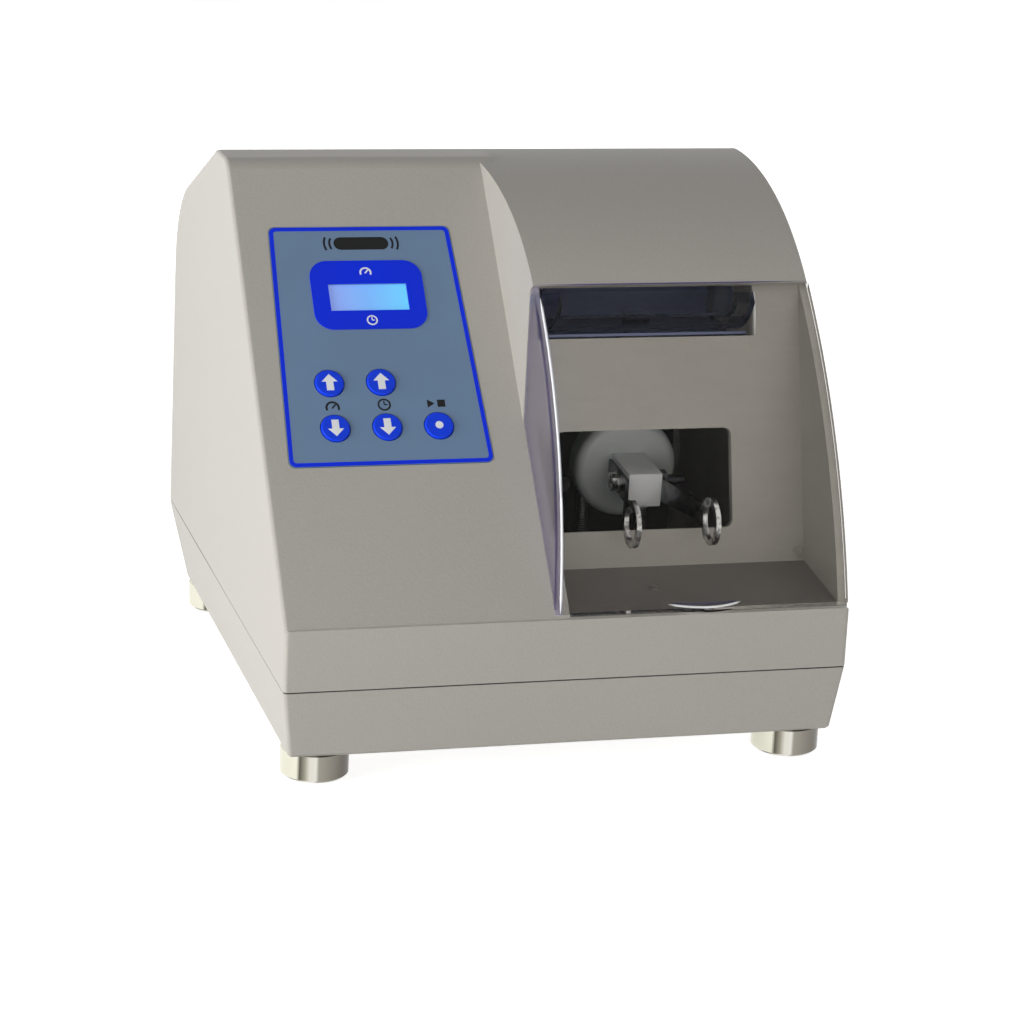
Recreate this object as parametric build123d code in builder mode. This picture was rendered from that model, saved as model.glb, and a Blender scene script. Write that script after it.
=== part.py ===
"""Dental amalgamator: a bench-top mixer that shakes a filled capsule.

The case is a tray with an upper housing. Its left half is a sloped control face, and its
right half a proud curved bulge whose lower part is a clear hinged lid. Behind the lid a
window lets the fork of the swing head through, which a motor shakes on a skewed journal.

Axes: +X to the right of the user, +Y to the rear, +Z up, Z = 0 under the feet.
"""

import os
from math import cos, hypot, radians, sin, tan

from build123d import *

os.makedirs("parts", exist_ok=True)

# ---------------------------------------------------------------- case sizes
case_width = 210.0
case_depth = 238.0
wall = 3.0
foot_stand = 11.5
tray_height = 25.6
band_height = 22.5
ridge_rise = 141.5
band_ledge = 2.0
edge_round = 1.5
tray_taper = 7.0
tray_edge = 1.0
parting_chamfer = 0.7
tray_rear_rise = 24.1
tray_rear_run = 30.0

# Sloped control face and falling top
slope_setback = 18.0
slope_top_round = 10.0
fall_angle = 23.5
crease_round = 12.0
rear_round = 40.0

# Curved bulge: seam between its opaque upper part and the lid
seam_run = 65.5
seam_rise = 107.0
seam_angle = 46.0
step_x = -6.5
step_draft = 9.0

# Recess behind the lid
recess_x = -1.0
recess_tilt = 14.5
floor_tilt = 7.0

# Window and hinge slot in the recess wall
window_left = 6.0
window_right = 74.0
window_low = 18.0
window_high = 54.0
window_round = 3.0
slot_right = 83.5
slot_drop = 20.0
slot_span = 15.0

# Lid
lid_wall = 2.5
lid_gap = 0.5
hinge_back = 20.5
hinge_over = 4.4
pin_radius = 2.0
pin_clearance = 0.05
swing_clearance = 0.35
arm_gap = 0.75
arm_band = 5.0
arm_width = 7.0
arm_side_gap = 0.5
arm_hub_radius = 5.0
arm_start_angle = 194.0
arm_end_angle = 294.0
spoke_angle = 287.0
spoke_width = 7.0
leaf_start_angle = 222.0
leaf_end_angle = 284.0
leaf_thickness = 2.0
lip_x = 50.0
lip_width = 28.0
lip_thickness = 2.2
lip_lift = 0.9
lip_root = 2.0
lip_out = 1.0
ear_thickness = 3.0
ear_gap = 2.0
ear_radius = 5.0
ear_back = 13.0
pin_over = 2.2
pin_clip_radius = 3.6
pin_clip_thickness = 0.7
magnet_angle = 234.0
magnet_x = 40.0
magnet_size = (10.0, 5.0, 2.5)
magnet_glue = 0.2
sensor_size = (16.0, 6.0, 4.0)
sensor_drop = 22.5

# Control panel, in the plane of the sloped face
panel_inset = 47.2
panel_low = 62.9
panel_high = 162.6
panel_low_width = 76.0
panel_high_width = 69.0
panel_thickness = 0.6
panel_sink = 0.4
panel_round = 2.5
panel_gap = 0.3
bezel_width = 42.7
bezel_height = 29.0
bezel_rise = 133.3
bezel_round = 7.0
bezel_thickness = 0.4
display_width = 29.7
display_height = 11.4
display_rise = 132.3
display_margin = 1.6
window_thickness = 1.6
key_radius = 5.4
key_gap = 0.3
key_pitch_x = 19.3
key_low_row = 78.2
key_row_pitch = 18.4
key_stand = 1.0
key_travel = 0.5
key_flange = 1.2
key_flange_margin = 1.3
key_stem_radius = 2.5
key_stem = 2.0
board_thickness = 1.6
board_width = 76.0
board_low = 65.0
board_high = 150.0
board_inset = 4.5
switch_size = 6.2
switch_height = 3.4
plunger_radius = 1.7
plunger_height = 0.9
press_gap = 0.3
standoff_radius = 3.6

# Screws
small_screw_radius = 1.25
small_head_radius = 2.6
small_head_height = 1.6
case_screw_radius = 2.0
case_head_radius = 3.8
case_head_height = 2.6
screw_slack = 0.2
boss_radius = 5.5
case_screw_inset = 10.0
case_screw_front = 40.0
case_screw_rear = 68.0
case_boss_height = 15.0
case_seat_height = 8.0
case_screw_grip = 10.0
boss_rib = 4.0
liner_screw_head = 1.6
liner_screw_head_height = 0.8
liner_screw_radius = 1.0
liner_screw_grip = 2.2
liner_hole_over = 0.3
liner_floor_x = 37.0
liner_floor_run = 23.0
liner_side_inset = 5.5
liner_wall_rise = 8.5

# Feet
foot_radius = 12.4
foot_side_inset = 15.5
foot_end_inset = 16.5
foot_rear_inset = 33.0
foot_edge = 0.8
pad_radius = 10.0
pad_thickness = 3.0
pad_stand = 0.8
foot_screw_grip = 8.0
foot_boss_height = 7.0

# Mixing drive
drive_x = 45.8
drive_rise = 77.1
pivot_run = 96.5
skew = 4.5
journal_radius = 4.0
fit_gap = 0.03
bearing_radius = 11.0
bearing_width = 7.0
race_radius = 6.2
race_land = 8.8
disc_radius = 20.0
disc_back = 4.0
disc_front = 7.0
disc_crown = 3.5
bore_relief = 0.6
journal_end = 3.2
ball_count = 7
ball_radius = 1.45
ball_sides = 6
shield_thickness = 0.5
shield_gap = 0.4
block_size = 13.0
block_reach = 30.0
clip_thickness = 1.2
clip_root = 7.5
clip_root_height = 9.0
clip_tip_height = 6.4
clip_spread = 15.0
clip_neck = 54.0
ring_reach = 63.0
ring_radius = 8.9
ring_bore = 6.4
ring_thickness = 1.8
clamp_reach = 19.5
clamp_radius = 2.0
clamp_head_radius = 3.5
clamp_head_height = 2.4
clamp_tail = 7.5
washer_thickness = 0.5
washer_radius = 4.0
nut_width = 7.0
nut_thickness = 3.2
recess_width = 0.9
recess_depth = 1.2
recess_share = 1.4

# Motor and bracket
plate_run = 109.5
plate_thickness = 3.0
plate_left = 32.0
plate_right = 25.0
plate_over = 33.0
plate_corner = 6.0
flange_length = 62.0
mount_boss_height = 3.0
mount_height = 5.0
mount_radius = 6.0
mount_inset_x = 9.0
mount_inset_y = 11.0
mount_screw_radius = 1.6
mount_head_radius = 3.0
mount_head_height = 2.0
mount_screw_depth = 4.5
motor_radius = 28.0
bell_radius = 29.0
bell_length = 10.0
can_length = 56.0
can_wall = 2.0
pilot_radius = 11.0
armature_radius = 20.0
armature_end_gap = 6.0
shaft_radius = 4.0
motor_bearing_radius = 8.0
motor_bearing_width = 5.0
collar_radius = 7.0
collar_front = 6.0
collar_length = 4.0
motor_screw_circle = 23.0
motor_screw_grip = 6.0
gusset_height = 26.0
gusset_thickness = 3.0
bell_vent_count = 6
bell_vent_circle = 19.0
bell_vent_radius = 3.5

# Retaining springs
spring_wire = 0.45
spring_radius = 2.2
spring_x = 12.0
spring_drop = 12.5
spring_back = 9.3
spring_length = 38.0
spring_eye_radius = 1.7
spring_post_radius = 1.1
spring_post_over = 1.6

# Rear panel and power parts
rear_out = 5.0
socket_x = -66.0
socket_rise = 40.6
socket_width = 27.0
socket_height = 20.0
socket_depth = 24.0
socket_wall = 1.8
socket_well = 17.0
socket_bevel = 5.0
socket_flange_width = 50.0
socket_flange_height = 23.5
socket_flange_thickness = 2.0
socket_screw_pitch = 40.0
socket_screw_grip = 6.0
blade_width = 2.0
blade_height = 4.0
blade_length = 15.0
blade_pitch = 7.0
blade_lift = 2.0
tab_length = 6.0
fuse_x = -26.0
fuse_radius = 6.5
fuse_flange_radius = 8.5
fuse_flange_thickness = 1.5
fuse_cap_radius = 6.0
fuse_depth = 28.0
fuse_slot_width = 1.2
fuse_slot_depth = 1.5
rocker_x = 2.0
rocker_width = 13.0
rocker_height = 19.0
rocker_depth = 16.0
rocker_margin = 1.0
rocker_flange = 1.5
rocker_opening_width = 11.3
rocker_opening_height = 15.6
rocker_opening_depth = 7.0
rocker_sink = 1.0
rocker_half = 6.8
rocker_face = 3.8
rocker_valley = 2.6
rocker_root = 3.6
rocker_side_gap = 0.4
rocker_tilt = 10.0
rocker_pin_radius = 1.2
vent_x = 55.0
vent_low = 46.0
vent_count = 9
vent_pitch = 7.0
vent_length = 62.0
vent_width = 3.0
tray_vent_x = 42.0
tray_vent_run = 122.0
tray_vent_count = 6
tray_vent_pitch = 8.0
tray_vent_length = 22.0
power_board_width = 82.0
power_board_length = 108.0
power_board_x = -46.0
power_board_run = 82.0
power_board_inset = 4.5
power_standoff = 6.0
core_width = 46.0
core_depth = 20.0
core_height = 38.0
core_x = -62.0
core_run = 112.0
core_slot_width = 9.0
core_slot_height = 24.0
coil_margin = 8.0
coil_gap = 0.3
capacitor_places = ((-26.0, 44.0, 8.0, 25.0), (-6.0, 44.0, 8.0, 25.0), (20.0, 40.0, 4.0, 12.0))
block_places = (
    (12.0, 62.0, 28.0, 12.0, 15.0),
    (-24.0, 68.0, 18.0, 10.0, 20.0),
    (30.0, 84.0, 10.0, 30.0, 10.0),
    (8.0, 86.0, 14.0, 14.0, 3.0),
)
sink_x = 18.0
sink_run = 116.0
sink_width = 14.0
sink_length = 25.0
sink_height = 24.0
fin_count = 6
fin_thickness = 1.5

# ---------------------------------------------------------------- derived places
left_x = -case_width / 2
right_x = case_width / 2
front_y = lip_out - (case_depth + lip_out + rear_out) / 2
rear_y = front_y + case_depth
tray_z = foot_stand
parting_z = tray_z + tray_height
band_z = parting_z + band_height
ridge_z = band_z + ridge_rise
ledge_y = front_y + band_ledge
tray_floor_z = tray_z + wall

seam_sin = sin(radians(seam_angle))
seam_cos = cos(radians(seam_angle))
seam_y = front_y + seam_run
seam_z = band_z + seam_rise
bulge_radius = (ridge_z - seam_z) / (1 - seam_sin)
ridge_y = seam_y + bulge_radius * seam_cos
fall_y = ridge_y + crease_round * tan(radians(fall_angle / 2))
rear_top_z = ridge_z - (rear_y - fall_y) * tan(radians(fall_angle))

slope_y = ridge_y - slope_setback
slope_length = hypot(slope_y - ledge_y, ridge_z - band_z)
slope_cos = (slope_y - ledge_y) / slope_length
slope_sin = (ridge_z - band_z) / slope_length
slope_normal = (0, -slope_sin, slope_cos)
panel_x = left_x + panel_inset
slope_plane = Plane(origin=(panel_x, ledge_y, band_z), x_dir=(1, 0, 0), z_dir=slope_normal)

seam_lift = (seam_z - band_z) * slope_cos - (seam_y - ledge_y) * slope_sin
strip_inner_x = step_x + seam_lift * tan(radians(step_draft)) + wall

draft_sin = sin(radians(step_draft))
draft_cos = cos(radians(step_draft))
step_normal = (draft_cos, draft_sin * slope_sin, -draft_sin * slope_cos)
step_plane = Plane(origin=(step_x, ledge_y, band_z), z_dir=step_normal)

hinge_y = seam_y + hinge_back
hinge_z = seam_z + hinge_over
slot_low = seam_rise - slot_drop
seam_reach = hypot(hinge_y - seam_y, hinge_z - seam_z)
arm_inner = seam_reach + arm_gap
arm_outer = arm_inner + arm_band
left_arm_x = strip_inner_x + arm_side_gap
right_arm_x = slot_right - arm_side_gap - arm_width

cheek_x = right_x - wall

ear_spots = (
    left_arm_x + arm_width + ear_gap,
    right_arm_x - ear_gap - ear_thickness,
    slot_right + 1,
)

drive_z = tray_z + drive_rise
pivot_y = front_y + pivot_run
skew_sin = sin(radians(skew))
skew_cos = cos(radians(skew))
pivot = (drive_x, pivot_y, drive_z)
head_plane = Plane(origin=pivot, x_dir=(1, 0, 0), z_dir=(0, -skew_cos, -skew_sin))
head_plan = Plane(origin=pivot, x_dir=(1, 0, 0), z_dir=(0, -skew_sin, skew_cos))
head_side = Plane(origin=pivot, x_dir=(0, -skew_cos, -skew_sin), z_dir=(-1, 0, 0))
plate_y = front_y + plate_run
motor_y = plate_y + plate_thickness
rear_bell_y = motor_y + bell_length + can_length
flange_z = tray_floor_z + mount_boss_height + mount_height


def front_plane(y):
    """A plane across the machine at depth y that faces the user; its second axis is up."""
    return Plane(origin=(0, y, 0), x_dir=(1, 0, 0), z_dir=(0, -1, 0))


def rear_plane(y):
    """A plane across the machine at depth y that faces the rear; its first axis is -X."""
    return Plane(origin=(0, y, 0), x_dir=(-1, 0, 0), z_dir=(0, 1, 0))


def meet(first, first_way, second, second_way):
    """The point where two lines of the side view cross."""
    cross = first_way[0] * second_way[1] - first_way[1] * second_way[0]
    gap = (second[0] - first[0], second[1] - first[1])
    along = (gap[0] * second_way[1] - gap[1] * second_way[0]) / cross
    return (first[0] + along * first_way[0], first[1] + along * first_way[1])


def bulge_outline(bottom):
    """Side view of the case through the bulge, down to height bottom."""
    with BuildSketch() as outline:
        with BuildLine():
            Polyline((front_y, bottom), (front_y, band_z), (ledge_y, band_z))
            TangentArc((seam_y, seam_z), (ledge_y, band_z), tangent=(-seam_sin, -seam_cos))
            TangentArc((seam_y, seam_z), (ridge_y, ridge_z), tangent=(seam_sin, seam_cos))
            FilletPolyline(
                (ridge_y, ridge_z), (fall_y, ridge_z), (rear_y, rear_top_z), (rear_y, bottom),
                radius=[crease_round * 0.98, rear_round],
            )
            Line((rear_y, bottom), (front_y, bottom))
        make_face()
    return outline.sketch


def slope_outline(bottom):
    """Side view of the case through the sloped control face, down to height bottom."""
    with BuildSketch() as outline:
        with BuildLine():
            Polyline((front_y, bottom), (front_y, band_z), (ledge_y, band_z))
            FilletPolyline(
                (ledge_y, band_z), (slope_y, ridge_z), (fall_y, ridge_z),
                (rear_y, rear_top_z), (rear_y, bottom),
                radius=[slope_top_round, crease_round * 0.98, rear_round],
            )
            Line((rear_y, bottom), (front_y, bottom))
        make_face()
    return outline.sketch


def recess_corners(grow):
    """Corners of the space in front of the recess wall, each face moved out by grow."""
    wall_way = (sin(radians(recess_tilt)), cos(radians(recess_tilt)))
    floor_way = (cos(radians(floor_tilt)), sin(radians(floor_tilt)))
    seam_point = (seam_y + grow * seam_sin, seam_z + grow * seam_cos)
    seam_way = (seam_cos, -seam_sin)
    wall_top = (seam_y + wall * seam_cos, seam_z - wall * seam_sin)
    wall_point = (wall_top[0] + grow * wall_way[1], wall_top[1] - grow * wall_way[0])
    floor_point = (ledge_y + grow * floor_way[1], band_z - grow * floor_way[0])
    top = meet(seam_point, seam_way, wall_point, wall_way)
    foot = meet(wall_point, wall_way, floor_point, floor_way)
    sill = meet(floor_point, floor_way, (front_y, band_z - grow), (1, 0))
    far = 60.0
    crest = (seam_point[0] - far * seam_cos, seam_point[1] + far * seam_sin)
    return top, foot, sill, (front_y - far, band_z - grow), (front_y - far, crest[1]), crest


def recess_outline(grow):
    """Side view of the space in front of the recess wall, each face moved out by grow."""
    with BuildSketch() as outline:
        with BuildLine():
            Polyline(*recess_corners(grow), close=True)
        make_face()
    return outline.sketch


def wall_point(rise, depth):
    """The side-view point of the recess wall at a height above the band, depth behind it."""
    top = recess_corners(0)[0]
    tilt = radians(recess_tilt)
    y = top[0] - (top[1] - band_z - rise) * tan(tilt)
    return (y + depth * cos(tilt), band_z + rise - depth * sin(tilt))


def panel_outline(grow):
    """The tapered membrane panel in the plane of the sloped face."""
    low_half = panel_low_width / 2 + grow
    high_half = panel_high_width / 2 + grow
    with BuildSketch() as outline:
        with BuildLine():
            Polyline(
                (-low_half, panel_low - grow), (low_half, panel_low - grow),
                (high_half, panel_high + grow), (-high_half, panel_high + grow), close=True,
            )
        make_face()
        fillet(outline.vertices(), radius=panel_round)
    return outline.sketch


key_places = {
    "key_speed_up": (-key_pitch_x, key_low_row + key_row_pitch),
    "key_speed_down": (-key_pitch_x, key_low_row),
    "key_timer_up": (0, key_low_row + key_row_pitch),
    "key_timer_down": (0, key_low_row),
    "key_start_stop": (key_pitch_x, key_low_row),
}
key_spots = list(key_places.values())
board_screw_spots = [
    (side * (board_width / 2 - board_inset), rise)
    for side in (-1, 1)
    for rise in (board_low + board_inset, board_high - board_inset)
]
case_screw_spots = [
    (side * (case_width / 2 - case_screw_inset), y)
    for side in (-1, 1)
    for y in (front_y + case_screw_front, rear_y - case_screw_rear)
]
foot_places = {
    "front_left": (left_x + foot_side_inset, front_y + foot_end_inset),
    "front_right": (right_x - foot_side_inset, front_y + foot_end_inset),
    "rear_left": (left_x + foot_side_inset, rear_y - foot_rear_inset),
    "rear_right": (right_x - foot_side_inset, rear_y - foot_rear_inset),
}
foot_spots = list(foot_places.values())

liner_screw_planes = (
    Plane(
        origin=(
            liner_floor_x,
            front_y + liner_floor_run,
            band_z + (liner_floor_run - band_ledge) * tan(radians(floor_tilt)),
        ),
        x_dir=(1, 0, 0),
        z_dir=(0, -sin(radians(floor_tilt)), cos(radians(floor_tilt))),
    ),
    Plane(
        origin=(right_x - liner_side_inset, *wall_point(liner_wall_rise, 0)),
        x_dir=(1, 0, 0),
        z_dir=(0, -cos(radians(recess_tilt)), sin(radians(recess_tilt))),
    ),
)

# Heights in the key stack, measured from the sloped face along its normal
key_back = -wall - key_gap - key_flange
stem_end = key_back - key_stem
plunger_top = stem_end - key_travel - press_gap
board_top = plunger_top - plunger_height - switch_height
board_back = board_top - board_thickness


def save(part, name):
    """Label a finished piece and write it as one STEP file."""
    part.label = name
    export_step(part, f"parts/{name}.step")


# ---------------------------------------------------------------- upper housing
with BuildPart() as upper_housing:
    # Proud bulge on the right, with its drafted left flank and the recess below the seam
    with BuildSketch(Plane.YZ.offset(step_x - 1)):
        add(bulge_outline(parting_z))
    extrude(amount=right_x - step_x + 1)
    split(bisect_by=step_plane)
    flank = upper_housing.faces().sort_by(Axis.X)[-1]
    soft = flank.edges().filter_by(lambda e: e.center().Z > parting_z + edge_round)
    fillet(soft, radius=edge_round)
    with BuildSketch(Plane.YZ.offset(step_x - 1)):
        add(recess_outline(0))
    extrude(amount=case_width, mode=Mode.SUBTRACT)

    # Cheek that closes the right end of the recess, under the right edge of the lid
    with BuildSketch(Plane.YZ.offset(cheek_x)):
        add(bulge_outline(parting_z))
        offset(amount=-lid_wall - lid_gap, kind=Kind.INTERSECTION, mode=Mode.REPLACE)
        add(recess_outline(wall / 2), mode=Mode.INTERSECT)
    extrude(amount=wall)

    # Sloped control side on the left
    with BuildSketch(Plane.YZ.offset(left_x)):
        add(slope_outline(parting_z))
    extrude(amount=recess_x - left_x)
    flank = upper_housing.faces().sort_by(Axis.X)[0]
    soft = flank.edges().filter_by(lambda e: e.center().Z > parting_z + edge_round)
    fillet(soft, radius=edge_round)

    # Hollow inside: behind the slope, behind the bulge, and the passage between them
    with BuildSketch(Plane.YZ.offset(left_x + wall)):
        add(slope_outline(tray_z))
        offset(amount=-wall, kind=Kind.INTERSECTION, mode=Mode.REPLACE)
    extrude(amount=recess_x - left_x - 2 * wall, mode=Mode.SUBTRACT)
    with BuildSketch(Plane.YZ.offset(recess_x - 2 * wall)):
        add(slope_outline(tray_z))
        offset(amount=-wall, kind=Kind.INTERSECTION, mode=Mode.REPLACE)
        add(recess_outline(wall), mode=Mode.SUBTRACT)
    extrude(amount=strip_inner_x - recess_x + 3 * wall, mode=Mode.SUBTRACT)
    with BuildSketch(Plane.YZ.offset(strip_inner_x)):
        add(bulge_outline(tray_z))
        offset(amount=-wall, kind=Kind.INTERSECTION, mode=Mode.REPLACE)
        add(recess_outline(wall), mode=Mode.SUBTRACT)
    extrude(amount=right_x - wall - strip_inner_x, mode=Mode.SUBTRACT)

    # Window for the fork, square to the recess wall
    window_rise = (window_low + window_high) / 2
    window_tall = (window_high - window_low) / cos(radians(recess_tilt))
    window_centre = wall_point(window_rise, 0)
    tilt_sin = sin(radians(recess_tilt))
    tilt_cos = cos(radians(recess_tilt))
    window_plane = Plane(
        origin=((window_left + window_right) / 2, *window_centre),
        x_dir=(1, 0, 0),
        z_dir=(0, -tilt_cos, tilt_sin),
    )
    with BuildSketch(window_plane.offset(wall)):
        RectangleRounded(window_right - window_left, window_tall, window_round)
    extrude(amount=-3 * wall, mode=Mode.SUBTRACT)

    # Hinge slot between the lip of the bulge and the recess wall
    lip_corner = recess_corners(0)[0]
    with BuildSketch(Plane.YZ.offset(strip_inner_x)):
        with BuildLine():
            Polyline(
                wall_point(slot_low, -1), wall_point(slot_low, wall + 1),
                (lip_corner[0] + 2 * wall * seam_cos, lip_corner[1] - 2 * wall * seam_sin),
                (lip_corner[0] - wall * seam_cos, lip_corner[1] + wall * seam_sin),
                close=True,
            )
        make_face()
    extrude(amount=slot_right - strip_inner_x, mode=Mode.SUBTRACT)
    with BuildSketch(Plane.YZ.offset(strip_inner_x)):
        add(bulge_outline(tray_z))
        offset(amount=-wall, kind=Kind.INTERSECTION, mode=Mode.REPLACE)
        with Locations(lip_corner):
            Rectangle(slot_span, slot_span, mode=Mode.INTERSECT)
    extrude(amount=slot_right - strip_inner_x, mode=Mode.SUBTRACT)

    # Ears that hold the hinge pin under the bulge, and the pin's blind bore on the left
    for ear_x in ear_spots:
        with BuildSketch(Plane.YZ.offset(ear_x)):
            with Locations((hinge_y, hinge_z)):
                Circle(ear_radius)
            with BuildLine():
                Polyline(
                    (hinge_y - ear_radius, hinge_z), (hinge_y + ear_radius, hinge_z),
                    (hinge_y + ear_back, ridge_z), (hinge_y - ear_radius, ridge_z), close=True,
                )
            make_face()
            add(bulge_outline(parting_z), mode=Mode.INTERSECT)
        extrude(amount=ear_thickness)
    with BuildSketch(Plane.YZ.offset(strip_inner_x - wall)):
        with Locations((hinge_y, hinge_z)):
            Circle(pin_radius + pin_clearance)
    extrude(amount=slot_right + 2 * wall + ear_thickness, mode=Mode.SUBTRACT)

    # Seat and holes of the control panel
    with BuildSketch(slope_plane.offset(-panel_sink)):
        add(panel_outline(panel_gap))
    extrude(amount=wall, mode=Mode.SUBTRACT)
    with BuildSketch(slope_plane.offset(-2 * wall)):
        with Locations(*key_spots):
            Circle(key_radius + key_gap)
        with Locations((0, display_rise)):
            Rectangle(display_width + display_margin + key_gap,
                      display_height + display_margin + key_gap)
    extrude(amount=3 * wall, mode=Mode.SUBTRACT)

    # Standoffs for the control board
    with BuildSketch(slope_plane.offset(-wall)):
        with Locations(*board_screw_spots):
            Circle(standoff_radius)
    extrude(amount=board_top + wall)
    with BuildSketch(slope_plane.offset(board_top)):
        with Locations(*board_screw_spots):
            Circle(small_screw_radius + screw_slack)
    extrude(amount=small_head_radius * 2, mode=Mode.SUBTRACT)

    # Bosses for the case screws, each tied to the side wall by a rib
    with BuildSketch(Plane.XY.offset(parting_z)):
        with Locations(*case_screw_spots):
            Circle(boss_radius)
        for spot_x, spot_y in case_screw_spots:
            wall_x = (case_width - wall) / 2 * (1 if spot_x > 0 else -1)
            with Locations(((spot_x + wall_x) / 2, spot_y)):
                Rectangle(abs(wall_x - spot_x), boss_rib)
    extrude(amount=case_boss_height)
    with BuildSketch(Plane.XY.offset(parting_z)):
        with Locations(*case_screw_spots):
            Circle(case_screw_radius + screw_slack)
    extrude(amount=case_screw_grip + 1, mode=Mode.SUBTRACT)

    # Holes of the two small liner screws
    for liner_plane in liner_screw_planes:
        with BuildSketch(liner_plane.offset(1)):
            Circle(liner_screw_radius + screw_slack)
        extrude(amount=-liner_screw_grip - 1 - liner_hole_over, mode=Mode.SUBTRACT)

    # Rear wall: mains inlet, fuse holder, rocker switch and the vents behind the motor
    with BuildSketch(rear_plane(rear_y + 1)):
        with Locations((-socket_x, tray_z + socket_rise)):
            Rectangle(socket_width + screw_slack, socket_height + screw_slack)
        with Locations(
            (-socket_x - socket_screw_pitch / 2, tray_z + socket_rise),
            (-socket_x + socket_screw_pitch / 2, tray_z + socket_rise),
        ):
            Circle(small_screw_radius + screw_slack)
        with Locations((-fuse_x, tray_z + socket_rise)):
            Circle(fuse_radius + screw_slack)
        with Locations((-rocker_x, tray_z + socket_rise)):
            Rectangle(rocker_width + screw_slack, rocker_height + screw_slack)
        for row in range(vent_count):
            with Locations((-vent_x, parting_z + vent_low + row * vent_pitch)):
                SlotOverall(vent_length, vent_width)
    extrude(amount=-wall - 2, mode=Mode.SUBTRACT)
save(upper_housing.part, "upper_housing")


# ---------------------------------------------------------------- base tray
tray_inset = tray_height * tan(radians(tray_taper))
mid_y = (front_y + rear_y) / 2
mount_spots = [
    (x, y)
    for x in (drive_x - plate_left + mount_inset_x, drive_x + plate_right - mount_inset_x)
    for y in (plate_y + mount_inset_y, plate_y + flange_length - mount_inset_y)
]
power_mid_y = front_y + power_board_run
power_board_z = tray_floor_z + power_standoff
power_screw_spots = [
    (
        power_board_x + side * (power_board_width / 2 - power_board_inset),
        power_mid_y + end * (power_board_length / 2 - power_board_inset),
    )
    for side in (-1, 1)
    for end in (-1, 1)
]
with BuildPart() as base_tray:
    with BuildSketch(Plane.XY.offset(parting_z)):
        with Locations((0, mid_y)):
            Rectangle(case_width, case_depth)
    extrude(amount=-tray_height, taper=tray_taper)
    corners = base_tray.edges().filter_by(lambda e: abs(e.tangent_at(0).Z) > 0.7)
    fillet(corners, radius=edge_round)
    underside = base_tray.faces().sort_by(Axis.Z)[0]
    chamfer(underside.edges(), length=tray_edge)
    rim = base_tray.faces().sort_by(Axis.Z)[-1]
    chamfer(rim.edges(), length=parting_chamfer)
    # The underside rises to the rear
    with BuildSketch(Plane.YZ.offset(left_x - 1)):
        with BuildLine():
            Polyline(
                (rear_y - tray_rear_run, tray_z - 1), (rear_y - tray_rear_run, tray_z),
                (rear_y + 1, tray_z + tray_rear_rise * (1 + 1 / tray_rear_run)),
                (rear_y + 1, tray_z - 1), close=True,
            )
        make_face()
    extrude(amount=case_width + 2, mode=Mode.SUBTRACT)
    # Hollow, open at the top
    with BuildSketch(Plane.YZ.offset(left_x + wall + tray_inset)):
        with BuildLine():
            Polyline(
                (front_y, parting_z + 2 * wall), (front_y, parting_z),
                (front_y + tray_inset, tray_z), (rear_y - tray_rear_run, tray_z),
                (rear_y, tray_z + tray_rear_rise), (rear_y, parting_z + 2 * wall), close=True,
            )
        make_face()
        offset(amount=-wall, kind=Kind.INTERSECTION, mode=Mode.REPLACE)
    extrude(amount=case_width - 2 * wall - 2 * tray_inset, mode=Mode.SUBTRACT)
    # Columns for the case screws, bosses for the feet, mounts and the power board
    with BuildSketch(Plane.XY.offset(tray_z + wall / 2)):
        with Locations(*case_screw_spots):
            Circle(boss_radius)
    extrude(amount=tray_height - wall / 2)
    with BuildSketch(Plane.XY.offset(tray_z)):
        with Locations(*foot_spots[2:]):
            Circle(foot_radius - foot_edge)
    extrude(amount=foot_boss_height)
    with BuildSketch(Plane.XY.offset(tray_z + wall / 2)):
        with Locations(*foot_spots):
            Circle(boss_radius)
    extrude(amount=foot_boss_height + wall / 2)
    with BuildSketch(Plane.XY.offset(tray_z + wall / 2)):
        with Locations(*mount_spots):
            Circle(mount_radius)
    extrude(amount=mount_boss_height + wall / 2)
    with BuildSketch(Plane.XY.offset(tray_z + wall / 2)):
        with Locations(*power_screw_spots):
            Circle(standoff_radius)
    extrude(amount=power_standoff + wall / 2)
    # Holes from below for the case and foot screws, from above for mounts and board
    with BuildSketch(Plane.XY.offset(tray_z - 1)):
        with Locations(*case_screw_spots):
            Circle(case_head_radius + screw_slack)
    extrude(amount=case_seat_height + 1, mode=Mode.SUBTRACT)
    with BuildSketch(Plane.XY.offset(tray_z)):
        with Locations(*case_screw_spots):
            Circle(case_screw_radius + screw_slack)
    extrude(amount=tray_height + 1, mode=Mode.SUBTRACT)
    with BuildSketch(Plane.XY.offset(tray_z - 1)):
        with Locations(*foot_spots):
            Circle(case_screw_radius + screw_slack)
    extrude(amount=foot_screw_grip + 2, mode=Mode.SUBTRACT)
    with BuildSketch(Plane.XY.offset(tray_floor_z + mount_boss_height + 1)):
        with Locations(*mount_spots):
            Circle(mount_screw_radius + screw_slack)
    extrude(amount=-mount_screw_depth - 1.5, mode=Mode.SUBTRACT)
    with BuildSketch(Plane.XY.offset(tray_floor_z + power_standoff + 1)):
        with Locations(*power_screw_spots):
            Circle(small_screw_radius + screw_slack)
    extrude(amount=-power_standoff - 1, mode=Mode.SUBTRACT)
    # Vents under the motor
    with BuildSketch(Plane.XY.offset(tray_z - 1)):
        for row in range(tray_vent_count):
            with Locations((tray_vent_x, front_y + tray_vent_run + row * tray_vent_pitch)):
                SlotOverall(tray_vent_length, vent_width)
    extrude(amount=wall + 2, mode=Mode.SUBTRACT)
save(base_tray.part, "base_tray")

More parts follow.
